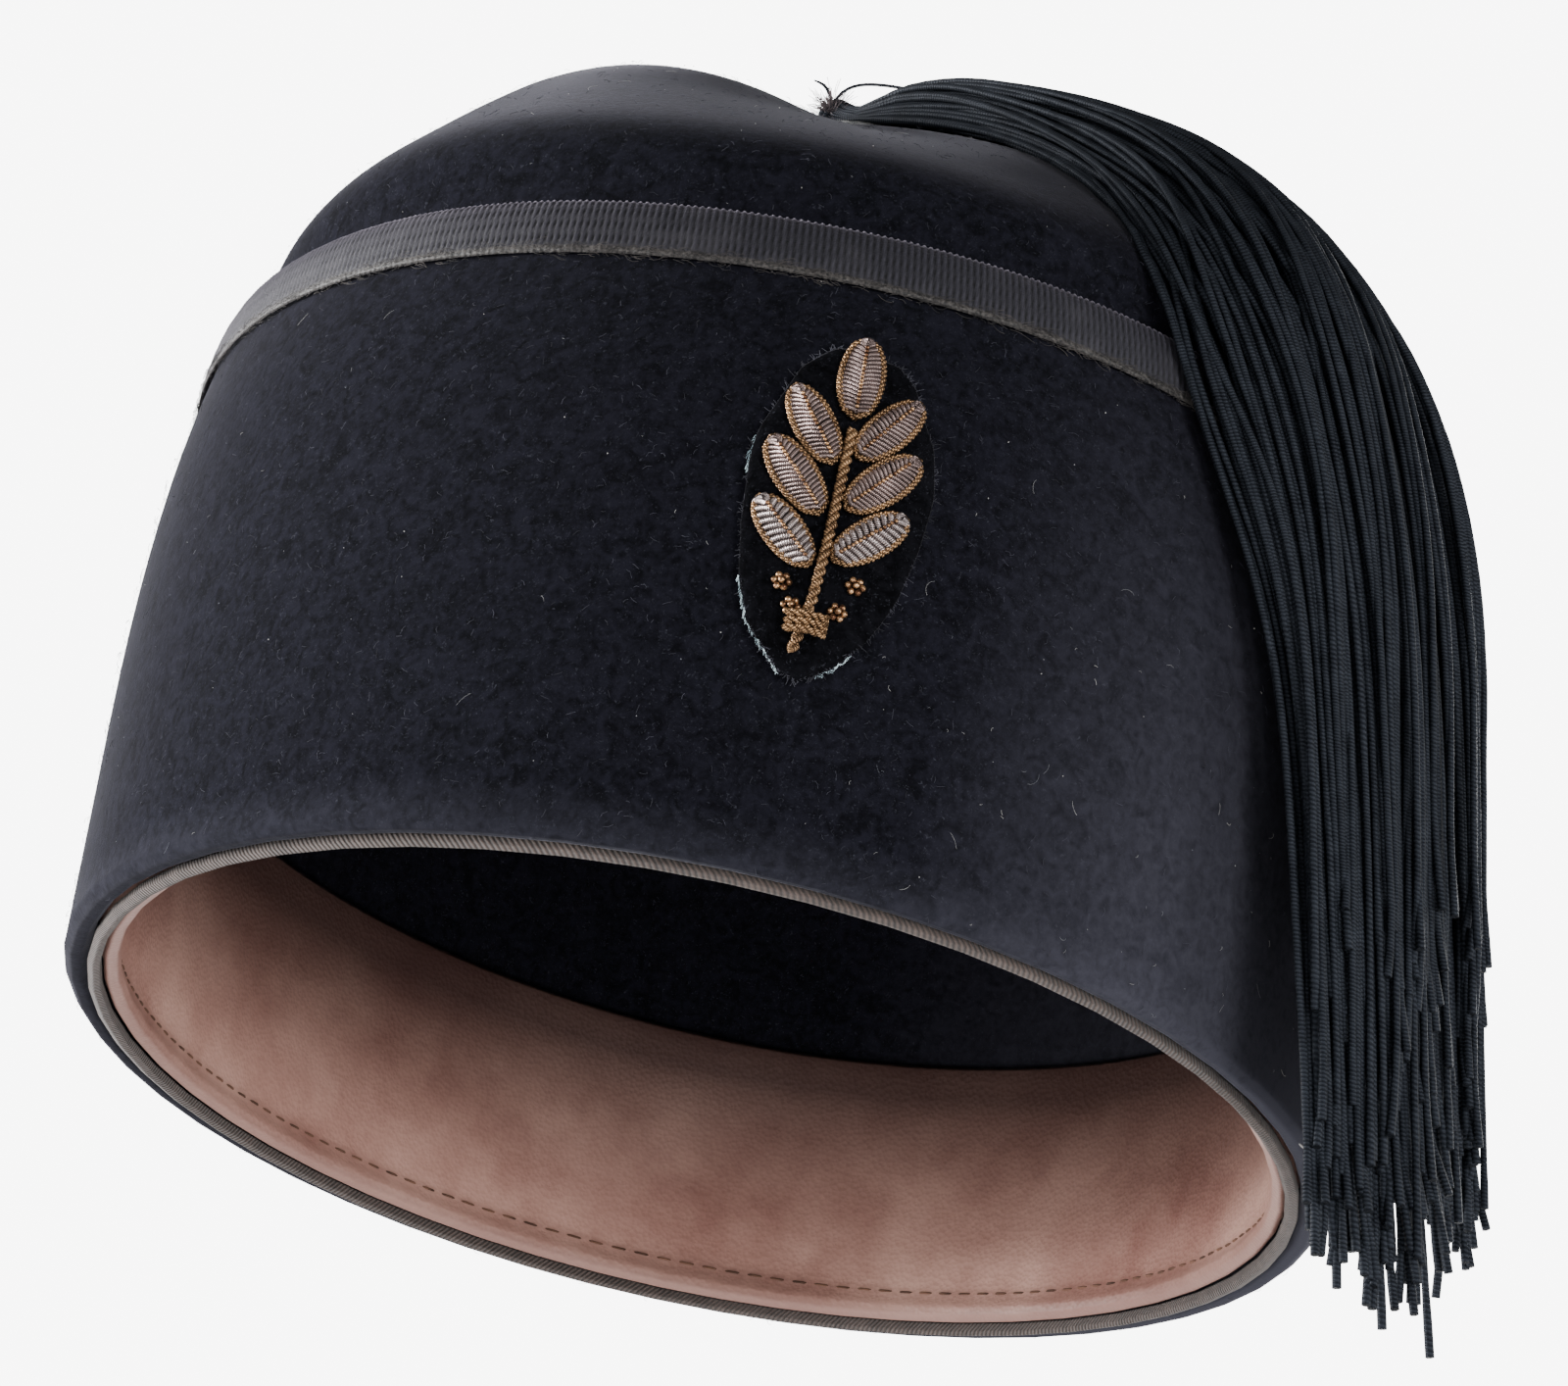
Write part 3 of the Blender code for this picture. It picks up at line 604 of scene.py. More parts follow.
def make_camera():
    """The photograph's camera, and the way it looks.

    It is worked out with the hat tilted as worn, and turned back into the hat's own frame.
    """
    sideways = Vector((math.cos(CAMERA_TURN), -math.sin(CAMERA_TURN), 0.0))
    ahead = Vector(
        (
            math.sin(CAMERA_TURN) * math.cos(CAMERA_RISE),
            math.cos(CAMERA_TURN) * math.cos(CAMERA_RISE),
            -math.sin(CAMERA_RISE),
        )
    )
    upwards = sideways.cross(ahead)
    place = -FRAME_ACROSS * sideways - FRAME_UP * upwards - CAMERA_DISTANCE * ahead
    back = Matrix.Rotation(HAT_TILT, 3, "Y").transposed()
    axes = Matrix((back @ sideways, back @ upwards, -(back @ ahead))).transposed()
    data = bpy.data.cameras.new("photo_camera")
    data.lens = LENS_MM
    data.sensor_width = SENSOR_MM
    data.clip_start = 0.01
    data.clip_end = 50.0
    camera = add_object("photo_camera", data)
    camera.matrix_world = Matrix.Translation(back @ place) @ axes.to_4x4()
    bpy.context.scene.camera = camera
    return back @ ahead


def make_lights():
    """White discs of light that face the middle of the hat."""
    for name, (place, size, power) in LIGHTS.items():
        data = bpy.data.lights.new(name, "AREA")
        data.shape = "DISK"
        data.size = size
        data.energy = power
        light = add_object(name, data)
        light.location = place
        light.rotation_euler = (HAT_MIDDLE - Vector(place)).to_track_quat("-Z", "Y").to_euler()


def make_room(ahead):
    """A pale room with a white glow behind the hat, the way the camera looks, and little light overhead."""
    world = bpy.data.worlds.new("studio")
    world.use_nodes = True
    tree = world.node_tree
    background = tree.nodes["Background"]
    background.inputs["Color"].default_value = linear("#FFFFFF")
    direction = add_node(tree, "TexCoord", output="Generated")
    dot = {"operation": "DOT_PRODUCT"}
    to_glow = add_node(tree, "VectorMath", dot, {0: direction, 1: ahead}, "Value")
    height = add_node(tree, "SeparateXYZ", inputs={"Vector": direction}, output="Z")
    glow, overhead = (
        add_node(tree, "MapRange", {"interpolation_type": form}, dict(zip(RANGE, row)))
        for form, row in (
            ("SMOOTHERSTEP", (to_glow, 0.80, 0.975, ROOM_LIGHT, GLOW_LIGHT)),
            ("LINEAR", (height, 0.52, 0.64, 1.0, 0.2)),
        )
    )
    strength = add_node(tree, "Math", {"operation": "MULTIPLY"}, {0: glow, 1: overhead})
    tree.links.new(strength, background.inputs["Strength"])
    bpy.context.scene.world = world


def make_floor():
    """A painted floor far below the hat."""
    bm = bmesh.new()
    bmesh.ops.create_grid(bm, x_segments=1, y_segments=1, size=FLOOR_REACH)
    bmesh.ops.translate(bm, verts=bm.verts, vec=(0, 0, FLOOR_HEIGHT))
    floor = add_object("floor", finished_mesh("floor", bm))
    paint, *_ = start_material("painted_floor", Roughness=0.9, Base_Color="#F4F4F4")
    floor.data.materials.append(paint)


def make_felt(material):
    """The felt of crown, wall and cuff, in one piece, with a fairly firm fold at the mouth."""
    mesh = rounded_copy("crown_with_cuff", 2, firm_below=2.5 * MM)
    add_piece("felt_body", mesh, material, ["crown_with_cuff"])


def felt_place(felt, chance, turns, heights):
    """A random place on the outside of a part of the felt, and the direction straight out of it."""
    while True:
        turn = chance.uniform(*turns)
        direction = pointing(turn, math.asin(chance.uniform(*heights)))
        hit, normal, _, _ = felt.ray_cast(FELT_MIDDLE + direction * ALL_ROUND, -direction)
        if hit:
            return hit, normal if normal.dot(direction) > 0 else -normal


def lying_hair(place, normal, length, lift, curl, points, chance):
    """A hair that lies on the felt: it starts at the surface, rises by the lift and curls to one side."""
    along = normal.orthogonal().normalized()
    along.rotate(Matrix.Rotation(chance.uniform(0, math.tau), 3, normal))
    route = []
    for number in range(points):
        share = number / (points - 1)
        route.append(place + normal * (0.05 * MM + lift * math.sin(share * 2.2)))
        place = place + along * length / (points - 1)
        along.rotate(Matrix.Rotation(curl / (points - 1), 3, normal))
    return route


def make_nap(felt, material):
    """The brushed-up ends of the felt's fibres, which soften its outline."""
    chance = random.Random(3)
    routes = []
    for _ in range(NAP_FIBRES):
        place, normal = felt_place(felt, chance, **WHOLE_FELT)
        length = chance.uniform(*NAP_LENGTH)
        lift = chance.uniform(*NAP_LIFT) * length
        routes.append(lying_hair(place, normal, length, lift, chance.uniform(-1.5, 1.5), 3, chance))
    add_cords("felt_nap", routes, NAP_RADIUS, material, sides=0)


def make_lint_hairs(felt, material, chance):
    """Pale hairs that cling to the felt, more of them low down on its right."""
    shortest, longer = LINT_LENGTH
    routes = []
    for number in range(LINT_HAIRS):
        where = LOW_RIGHT if number % 4 == 0 else WHOLE_FELT
        place, normal = felt_place(felt, chance, **where)
        length = shortest + longer * chance.random() ** 3
        curl = chance.choice([-1, 1]) * chance.uniform(0.2, 2.2)
        routes.append(lying_hair(place, normal, length, LINT_LIFT, curl, 7, chance))
    add_cords("lint_hairs", routes, LINT_RADIUS, material, sides=0)


def make_chip(felt, material):
    """The one pale chip that shows at the felt's rim."""
    outwards = Vector((CHIP_PLACE.x, CHIP_PLACE.y, 0.0)).normalized()
    along = Vector((-outwards.y, outwards.x, 0.0))
    place, _, _, _ = felt.ray_cast(CHIP_PLACE + outwards * BESIDE_RIM, -outwards)
    chip = []
    for away in (-1.1, -0.4, 0.3, 1.0):
        chip.append(place + along * away * MM - outwards * 0.02 * MM * away * away)
    add_cords("rim_fleck", [chip], CHIP_RADIUS, material, taper=tip_taper)


def make_lint_specks(felt, material, chance):
    """Specks of lint that sit on the felt's nap."""
    bm = bmesh.new()
    for _ in range(LINT_SPECKS):
        place, normal = felt_place(felt, chance, **WHOLE_FELT)
        size = chance.uniform(*SPECK_SIZE)
        above = Matrix.Translation(place + normal * SPECK_HEIGHT)
        bmesh.ops.create_icosphere(bm, subdivisions=1, radius=size, matrix=above)
    add_piece("lint_specks", finished_mesh("lint_specks", bm), material)


def turn_between(verts, half_x, half_y):
    """How far round the hat one end of an edge lies from the other."""
    first, second = (math.atan2(v.co.y / half_y, v.co.x / half_x) for v in verts)
    return (second - first + math.pi) % math.tau - math.pi


def joined_by(edges):
    """The vertices of some edges, in lists of those that the edges join."""
    neighbours = {}
    for edge in edges:
        first, second = edge.verts
        neighbours.setdefault(first, []).append(second)
        neighbours.setdefault(second, []).append(first)
    seen, found = set(), []
    for start in neighbours:
        if start in seen:
            continue
        seen.add(start)
        joined = [start]
        for vert in joined:
            for other in neighbours[vert]:
                if other not in seen:
                    seen.add(other)
                    joined.append(other)
        found.append(joined)
    return found


def mark_columns(bm, across):
    """Writes on each vertex how far round the hat its column lies, as a cosine and a sine."""
    place_layers = [bm.verts.layers.float.new(name) for name in ("column_cosine", "column_sine")]
    columns = joined_by(across)
    columns.sort(key=lambda column: sum(math.atan2(v.co.y, v.co.x) for v in column) / len(column))
    for number, column in enumerate(columns):
        turn = math.tau * number / len(columns)
        for vert in column:
            vert[place_layers[0]] = math.cos(turn)
            vert[place_layers[1]] = math.sin(turn)


def raise_ribs(bm, bottom):
    """Raises the ribbon's surface along each rib and sinks it between them, but hardly at its lower edge."""
    rib_layer = bm.verts.layers.float.new("rib")
    cosine, sine = (bm.verts.layers.float[name] for name in ("column_cosine", "column_sine"))
    for vert in bm.verts:
        height = vert.co.z - bottom
        turn = math.atan2(vert[sine], vert[cosine]) + RIB_SLANT * height
        over_selvedge = min(1.0, max(0.05, height / SELVEDGE - 0.5))
        vert[rib_layer] = 0.5 + 0.5 * math.cos(turn * RIBS)
        vert.co += vert.normal * (vert[rib_layer] - 0.6) * RIB_DEPTH * over_selvedge


def make_ribbon(material):
    """Grosgrain over the cuff's edge: the rounded binding is cut into fine columns, and each rib is raised.

    The ribs follow the binding's own columns wherever it leans, and slant a little, as the ribbon was sewn.
    """
    mesh = rounded_copy("ribbon_binding", 1)
    bm = bmesh.new()
    bm.from_mesh(mesh)
    low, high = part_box("ribbon_binding")
    across, along = [], []
    for edge in bm.edges:
        turns = abs(turn_between(edge.verts, high.x, high.y))
        (along if turns > math.pi / RIBBON_COLUMNS / 2 else across).append(edge)
    mark_columns(bm, across)
    bmesh.ops.subdivide_edges(bm, edges=along, cuts=QUARTER_RIBS - 1, use_grid_fill=True)
    bm.normal_update()
    raise_ribs(bm, low.z)
    bm.to_mesh(mesh)
    bm.free()
    ribbon = add_piece("grosgrain_binding", mesh, material, ["ribbon_binding"])


def make_ribbon_fuzz(felt, material):
    """Broken threads and lint that lie along the ribbon's lower edge as a dusty lip."""
    low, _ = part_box("ribbon_binding")
    chance = random.Random(21)
    routes = []
    for _ in range(FUZZ_THREADS):
        direction = pointing(chance.uniform(0, math.tau))
        height = low.z + chance.uniform(*FUZZ_HEIGHT)
        hit, normal, _, _ = felt.ray_cast(Vector((0, 0, height)) + direction * ALL_ROUND, -direction)
        on_ribbon = height > low.z + 0.3 * MM
        off = chance.uniform(0.75, 1.0) if on_ribbon else chance.uniform(0.2, 0.6)
        place = hit + normal * off * MM
        along = Vector((-direction.y, direction.x, chance.uniform(-0.45, 0.45))).normalized()
        length = chance.uniform(*FUZZ_LENGTH)
        bend = chance.uniform(-0.25, 0.25)
        route = []
        for share in (0.0, 0.33, 0.67, 1.0):
            rise = Vector((0, 0, bend * length * share * (1 - share) * 4))
            lift = normal * 0.12 * MM * math.sin(share * math.pi)
            route.append(place + along * length * share + rise + lift)
        routes.append(route)
    add_cords("ribbon_fuzz", routes, FUZZ_RADIUS, material, sides=0)


def draw_out(mesh, reach):
    """Moves the outer side of a ring's lowest part outwards, where rounding left a gap to its neighbour."""
    normals = [vert.normal.copy() for vert in mesh.vertices]
    for vert, normal in zip(mesh.vertices, normals):
        outwards = Vector((vert.co.x, vert.co.y, 0.0)).normalized()
        if vert.co.z < DRAWN_BELOW:
            vert.co += outwards * max(0.0, normal.dot(outwards)) * reach


def make_sweatband(material):
    """The leather band inside the mouth, its roll drawn out to the tape."""
    mesh = rounded_copy("sweatband", 2, firm_below=8 * MM, firmness=0.5)
    draw_out(mesh, LEATHER_REACH)
    add_piece("leather_sweatband", mesh, material, ["sweatband"])


def make_stitches(material):
    """The row of stitches that holds the leather's roll, each one sunk into it at both ends."""
    leather = cad_surface("sweatband")
    reach = STITCH_LENGTH / BAND_RADIUS / 2
    routes = []
    for number in range(STITCHES):
        turn = math.tau * number / STITCHES
        route = []
        for step in (-1.0, -0.6, 0.0, 0.6, 1.0):
            direction = pointing(turn + step * reach)
            hit, _, _, _ = leather.ray_cast(Vector((0, 0, STITCH_HEIGHT)), direction)
            off = STITCH_RADIUS * (0.7 if abs(step) < 1 else -0.8)
            route.append(hit - direction * off)
        routes.append(route)
    add_cords("sweatband_stitches", routes, STITCH_RADIUS, material)


def make_tape(material):
    """The tape, its outer side drawn out to the felt's edge so that no gap is left between them."""
    mesh = rounded_copy("rim_tape", 2, firm_below=5 * MM, firmness=0.6)
    draw_out(mesh, TAPE_REACH)
    add_piece("twill_tape", mesh, material, ["rim_tape"])


def crossings(surface, start, direction):
    """The places where a ray goes into and comes out of a solid, nearest first, eight at most."""
    found = []
    place = start
    while len(found) < 8:
        hit, _, _, _ = surface.ray_cast(place, direction)
        if hit is None:
            break
        found.append(hit)
        place = hit + direction * 0.02 * MM
    return found


def over_crown(form, azimuth, rise):
    """Where the CAD tassel begins and ends, as seen from the middle of the crown, with angles in degrees."""
    return crossings(form.surface, form.centre, pointing(math.radians(azimuth), math.radians(rise)))


def beside(form, place):
    """Where the CAD tassel begins and ends at the height of a place, from the hat's side outwards."""
    return crossings(form.surface, place - OUTWARDS * INSIDE_TASSEL, OUTWARDS)


def fan_edges(form, rise):
    """The azimuths, in degrees, between which the CAD tassel lies at a rise above the crown's middle."""
    hit = [azimuth for azimuth in AZIMUTHS if len(over_crown(form, azimuth, rise)) > 1]
    return hit[0] + 0.3, hit[-1] - 0.3


def drop_at(form, azimuth):
    """How far the CAD tassel hangs straight down from the last station on the crown at an azimuth."""
    found = over_crown(form, azimuth, CROWN_STATIONS[-1])
    if not found:
        return USUAL_DROP
    down = [drop * MM for drop in DROPS if len(beside(form, found[-1] + PLUMB * (drop * MM))) > 1]
    return max([LEAST_DROP, *down])


def tassel_form(felt):
    """What the strands follow: the CAD tassel, the crown's tip, the fan over it and the drops below."""
    low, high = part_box("tassel_stem")
    form = SimpleNamespace(felt=felt, surface=cad_surface("tassel"))
    form.tip = Vector((low.x + 1.5 * MM, (low.y + high.y) / 2, low.z))
    form.centre = Vector((form.tip.x, form.tip.y, CROWN_MIDDLE))
    form.fans = [fan_edges(form, rise) for rise in CROWN_STATIONS]
    front, back = form.fans[-1]
    form.drops = [drop_at(form, front + (back - front) * tenth / 10) for tenth in range(11)]
    return form


def wander(chance, steps, size):
    """A slow random drift, one value a step, that comes back towards nothing."""
    value, made = 0.0, []
    for _ in range(steps):
        value = 0.8 * value + chance.uniform(-size, size)
        made.append(value)
    return made


def held_clear(felt, place):
    """The place itself, or the nearest place that is far enough outside the felt for a strand."""
    near, _, _, _ = felt.find_nearest(place)
    from_axis = Vector((near.x, near.y, max(0.0, near.z - SHOULDER_HEIGHT)))
    away = place - near
    if away.dot(from_axis) > 0 and away.length >= STRAND_CLEARANCE:
        return place
    return near + from_axis.normalized() * STRAND_CLEARANCE


def eased(route, rounds):
    """A route whose corners are worn down, with its ends where they were."""
    for _ in range(rounds):
        middle = [(a + b * 2 + c) / 4 for a, b, c in zip(route, route[1:], route[2:])]
        route = [route[0], *middle, route[-1]]
    return route


def curved(route, spacing):
    """A smooth curve through the points of a route, with a point about every spacing."""
    made = [route[0]]
    ends = [route[0] * 2 - route[1], *route, route[-1] * 2 - route[-2]]
    for before, start, end, after in zip(ends, ends[1:], ends[2:], ends[3:]):
        parts = max(1, round((end - start).length / spacing))
        straight = end - before
        bend = before * 2 - start * 5 + end * 4 - after
        twist = start * 3 - before - end * 3 + after
        for part in range(1, parts + 1):
            t = part / parts
            made.append(0.5 * (start * 2 + straight * t + bend * t**2 + twist * t**3))
    return made


def crown_route(form, shares, depths):
    """A strand's way over the crown inside the CAD tassel, swollen forwards and upwards at its head."""
    route = []
    for rise, (front, back), share, depth in zip(CROWN_STATIONS, form.fans, shares, depths):
        azimuth = front + (back - front) * min(0.995, max(0.005, share))
        found = over_crown(form, azimuth, rise)
        if len(found) > 1:
            upwards, forwards = HEAD_SWELL.get(rise, (0.0, 0.0))
            upwards *= max(0.0, depth - 0.3)
            forwards *= max(0.0, 1 - share) ** 1.5
            inside = found[0].lerp(found[-1], min(0.97, max(-0.3, depth)))
            route.append(inside + Vector((0, -forwards, upwards - 0.5 * forwards)) * MM)
    return route


def hanging_route(form, place, depth, length, sways):
    """A strand's way plumb down from a place, inside the CAD tassel where there is one beside it."""
    route = []
    steps = max(3, round(length / HANGING_STEP))
    for number in range(steps):
        place = place + PLUMB * (length / steps)
        found = beside(form, place)
        if len(found) > 1:
            target = found[0].lerp(found[-1], min(0.97, max(-0.2, depth)))
            place = place.lerp(target, min(0.8, 0.3 + 0.15 * number))
        route.append(place + SWAY_WAY * sways[number])
    return route


def strand_route(form, share, depth, clump_drift, clump_sway, chance):
    """One strand: out of the root, over the crown and down to its own cut end, with its own small drifts."""
    stations = len(CROWN_STATIONS)
    shares = [share + a + b for a, b in zip(clump_drift, wander(chance, stations, OWN_DRIFT))]
    depths = [depth + away for away in wander(chance, stations, DEPTH_DRIFT)]
    sways = [a + b for a, b in zip(clump_sway, wander(chance, MOST_STEPS, OWN_SWAY))]
    # It hangs as far as the CAD tassel does there, or less, and least of all on the outside
    tenth = min(9.99, max(0.0, share * 10))
    before, after = form.drops[int(tenth) : int(tenth) + 2]
    drop = before + (after - before) * (tenth % 1)
    from_outside = min(0.99, max(0.0, 1.05 - depth + chance.uniform(-0.3, 0.3)))
    step = LENGTH_STEPS[int(from_outside * len(LENGTH_STEPS))]
    length = drop * (step + chance.uniform(-0.03, 0.02))
    # It starts in the stub, where the strands that come to lie outside are stacked on top
    stacked = 0.5 + 2.6 * min(1.0, max(0.0, depth)) + chance.uniform(-0.3, 0.3)
    root = form.tip + Vector((chance.uniform(0.2, 1.4), chance.uniform(-1.3, 1.3), stacked)) * MM
    route = crown_route(form, shares, depths)
    route += hanging_route(form, route[-1], depths[-1], length, sways)
    route = curved([root, *eased(route, 2)], STRAND_SPACING)
    route = [route[0], *(held_clear(form.felt, point) for point in route[1:])]
    aside = Vector((chance.uniform(-1, 1), chance.uniform(-1, 1), 0)) * END_BEND
    for from_end, bent in enumerate(END_SHARES, 1):
        route[-from_end] = route[-from_end] + aside * bent
    return route


def make_tassel(form, material):
    """Hundreds of strands in loose clumps inside the CAD tassel, in three pieces from front to back."""
    chance = random.Random(5)
    thirds = [[], [], []]
    for clump in range(CLUMPS):
        clump_share = (clump + 0.5) / CLUMPS
        clump_depth = INNERMOST + DEPTH_SPREAD * ((clump * GOLDEN_PART) % 1.0)
        clump_drift = wander(chance, len(CROWN_STATIONS), CLUMP_DRIFT)
        clump_sway = wander(chance, MOST_STEPS, CLUMP_SWAY)
        for _ in range(STRANDS_PER_CLUMP):
            share = clump_share + chance.uniform(-OWN_PLACE, OWN_PLACE) / CLUMPS
            depth = clump_depth + chance.uniform(-OWN_DEPTH, OWN_DEPTH)
            route = strand_route(form, share, depth, clump_drift, clump_sway, chance)
            thirds[min(2, max(0, int(share * 3)))].append(route)
    for name, routes in zip(("front", "middle", "back"), thirds):
        replaced = ["tassel"] if name == "front" else []
        add_cords(f"tassel_{name}", routes, STRAND_RADIUS, material, replaced, 1, strand_taper)


def make_stub(tip, material):
    """The stub at the crown's tip: a ring of bound cord ends that bend over together."""
    routes = []
    for number in range(STUB_ENDS):
        aside = pointing(math.tau * number / STUB_ENDS) * 0.8 * MM
        routes.append([tip + aside + Vector((0.2 * k * k - 0.6, 0, 1.2 * k)) * MM for k in range(4)])
    add_cords("tassel_stub", routes, STRAND_RADIUS, material, ["tassel_stem"], 1, tip_taper)


def make_strays(tip, material):
    """The loose loop over the stub and a whisker beside it."""
    low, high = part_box("tassel_stem")
    top = high.z - low.z
    loop = [(0.2, 0, 1.6 * MM), (0.7, -0.2, 0.6 * top), (2.0, -0.4, 0.85 * top), (4.3, -0.7, top)]
    loop = [tip + Vector((x * MM, y * MM, z)) for x, y, z in loop]
    loop += [tip + Vector(place) * MM for place in LOOP_END]
    whisker = [tip + Vector(place) * MM for place in WHISKER]
    routes = [curved(loop, 1.0 * MM), curved(whisker, 0.7 * MM)]
    add_cords("stray_threads", routes, STRAY_RADIUS, material, taper=tip_taper)


def make_root_fuzz(tip, material):
    """Frayed fibres that stand round the stub, most of them short."""
    chance = random.Random(13)
    shortest, longer = ROOT_FIBRE_LENGTH
    routes = []
    for _ in range(ROOT_FIBRES):
        way = Vector((chance.uniform(-1.0, 0.6), chance.uniform(-1, 0.4), chance.uniform(-0.3, 1.0)))
        way = way.normalized()
        start = tip + Vector((0.4, 0, 1.4)) * MM + way * 0.7 * MM
        length = shortest + longer * chance.random() ** 1.6
        bend = Vector((chance.uniform(-1, 1), chance.uniform(-1, 1), chance.uniform(-1, 1))) * 0.5
        routes.append([start + (way + bend * s) * length * s for s in (0, 0.25, 0.5, 0.75, 1.0)])
    add_cords("root_fuzz", routes, ROOT_FIBRE_RADIUS, material, sides=0)


def patch_place(surface, x, z, height=0.0):
    """A place this high over the badge's ground at x and z, and the direction straight out of it."""
    hit, normal, _, _ = surface.ray_cast(Vector((x, -IN_FRONT, z)), Vector((0, 1, 0)))
    if hit is None:
        return None, None
    return hit + normal * height, normal


def two_ply(ground, path, radius, pitch, height):
    """The two plies of a twisted cord that lies over the badge along a path of (x, z) places."""
    stretch = [Vector((b[0] - a[0], b[1] - a[1])).length for a, b in zip(path, path[1:])]
    total = sum(stretch)
    steps = max(6, int(total / pitch * 8))
    plies = [[], []]
    for step in range(steps + 1):
        away = total * step / steps
        index = 0
        while index < len(stretch) - 1 and away > stretch[index]:
            away -= stretch[index]
            index += 1
        share = min(1.0, away / stretch[index])
        (x, z), (next_x, next_z) = path[index : index + 2]
        place, normal = patch_place(ground, x + (next_x - x) * share, z + (next_z - z) * share, height)
        if place is None:
            continue
        side = Vector((next_x - x, 0, next_z - z)).normalized().cross(normal).normalized()
        turn = math.tau * total * step / steps / pitch
        for half, ply in enumerate(plies):
            angle = turn + half * math.pi
            ply.append(place + (normal * math.cos(angle) + side * math.sin(angle)) * radius * 0.85)
    return [ply for ply in plies if len(ply) > 2]


def leaf_axis(node):
    """The base and tip of a CAD leaf, as (x, z) places, and its half width."""
    flat = [Vector((vert.co.x, vert.co.z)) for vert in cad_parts[node].data.vertices]
    base, tip = max(((a, b) for a in flat for b in flat), key=lambda pair: (pair[0] - pair[1]).length)
    if base.y > tip.y:
        base, tip = tip, base
    along = (tip - base).normalized()
    return base, tip, max(abs((place - base).cross(along)) for place in flat)


def leaf_edge(base, tip, half, share, side):
    """A place on the edge of a leaf, a share of the way from its base to its tip."""
    along = tip - base
    across = Vector((-along.y, along.x)).normalized()
    width = half * 2 * math.sqrt(max(0.0, share * (1 - share)))
    return base + along * share + across * side * width


def leaf_coils(ground, base, tip, half, radius):
    """Rows of coiled wire from a leaf's midrib to both its edges, over a pad that is highest along it."""
    count = int((tip - base).length / (radius * 2.05))
    routes = []
    for row in range(count):
        share = (row + 0.5) / count
        start = base + (tip - base) * min(0.98, share * 0.96 + 0.01)
        for side in (-1, 1):
            end = leaf_edge(base, tip, half * 0.96, min(0.97, share + 0.09), side)
            route = []
            for step in range(6):
                part = step / 5
                flat = start.lerp(end, part)
                rise = COIL_HEIGHT + LEAF_PAD * math.cos(part * math.pi / 2) ** 0.8
                place, _ = patch_place(ground, flat.x, flat.y, rise)
                if place:
                    route.append(place)
            if len(route) > 2:
                routes.append(route)
    return routes


def add_beads(name, places, radius, material, replaced=()):
    """Round beads at these places, as one piece."""
    bm = bmesh.new()
    for place in places:
        bmesh.ops.create_icosphere(bm, subdivisions=2, radius=radius, matrix=Matrix.Translation(place))
    add_piece(name, finished_mesh(name, bm), material, replaced)


def make_leaf(ground, number, node, wire, radius, edging, beads):
    """A leaf in coiled wire laid over a pad, with a corded edge and a beaded vein."""
    base, tip, half = leaf_axis(node)
    coils = leaf_coils(ground, base, tip, half, radius)
    add_cords(f"leaf_{number}_bullion", coils, radius, wire, [node])
    outline = [leaf_edge(base, tip, half, s / 12, 1) for s in range(13)]
    outline += [leaf_edge(base, tip, half, 1 - s / 12, -1) for s in range(1, 13)]
    plies = two_ply(ground, [(p.x, p.y) for p in outline], EDGE_RADIUS, EDGE_PITCH, EDGE_HEIGHT)
    add_cords(f"leaf_{number}_edge", plies, EDGE_RADIUS, edging)
    count = int((tip - base).length * 0.8 / (BEAD_RADIUS * 2.1))
    vein = [base.lerp(tip, 0.08 + 0.8 * bead / count) for bead in range(count)]
    places = [patch_place(ground, flat.x, flat.y, VEIN_HEIGHT + radius)[0] for flat in vein]
    add_beads(f"leaf_{number}_vein", places, BEAD_RADIUS, beads)


def make_berry(ground, number, node, material):
    """A berry of seven beads: one on top of a ring of six."""
    low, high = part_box(node)
    places = []
    for bead in range(7):
        turn = math.radians(60 * bead)
        reach, height = (0.0, BERRY_TOP) if bead == 6 else (BERRY_RING, 1.0)
        x = (low.x + high.x) / 2 + BERRY_BEAD * reach * math.cos(turn)
        z = (low.z + high.z) / 2 + BERRY_BEAD * reach * math.sin(turn)
        places.append(patch_place(ground, x, z, BERRY_BEAD * height)[0])
    add_beads(f"berry_{number}", places, BERRY_BEAD, material, [node])


def make_badge_stem(ground, material):
    """The badge's stem: one twisted cord that curves up from the spray's foot."""
    low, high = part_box("badge_stem")
    path = [
        (low.x + 0.7 * MM, low.z + 0.7 * MM),
        (low.x * 0.4 + high.x * 0.6, low.z * 0.75 + high.z * 0.25),
        (low.x * 0.3 + high.x * 0.7, (low.z + high.z) / 2),
        (high.x - 0.9 * MM, high.z - 0.7 * MM),
    ]
    plies = two_ply(ground, path, CORD_RADIUS, STEM_PITCH, STEM_HEIGHT)
    add_cords("stem_cord", plies, CORD_RADIUS, material, ["badge_stem"])


def make_badge_tie(ground, material):
    """The cord that is wound across the foot of the spray and binds it."""
    low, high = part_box("badge_tie")
    plies = []
    for row in range(TIE_TURNS):
        z = low.z + (high.z - low.z) * row / (TIE_TURNS - 1) - 0.3 * MM
        path = [(low.x, z - 0.2 * MM), ((low.x + high.x) / 2, z + 0.25 * MM), (high.x, z)]
        plies += two_ply(ground, path, TIE_RADIUS, TIE_PITCH, TIE_HEIGHT)
    add_cords("tie_cord", plies, TIE_RADIUS, material, ["badge_tie"])


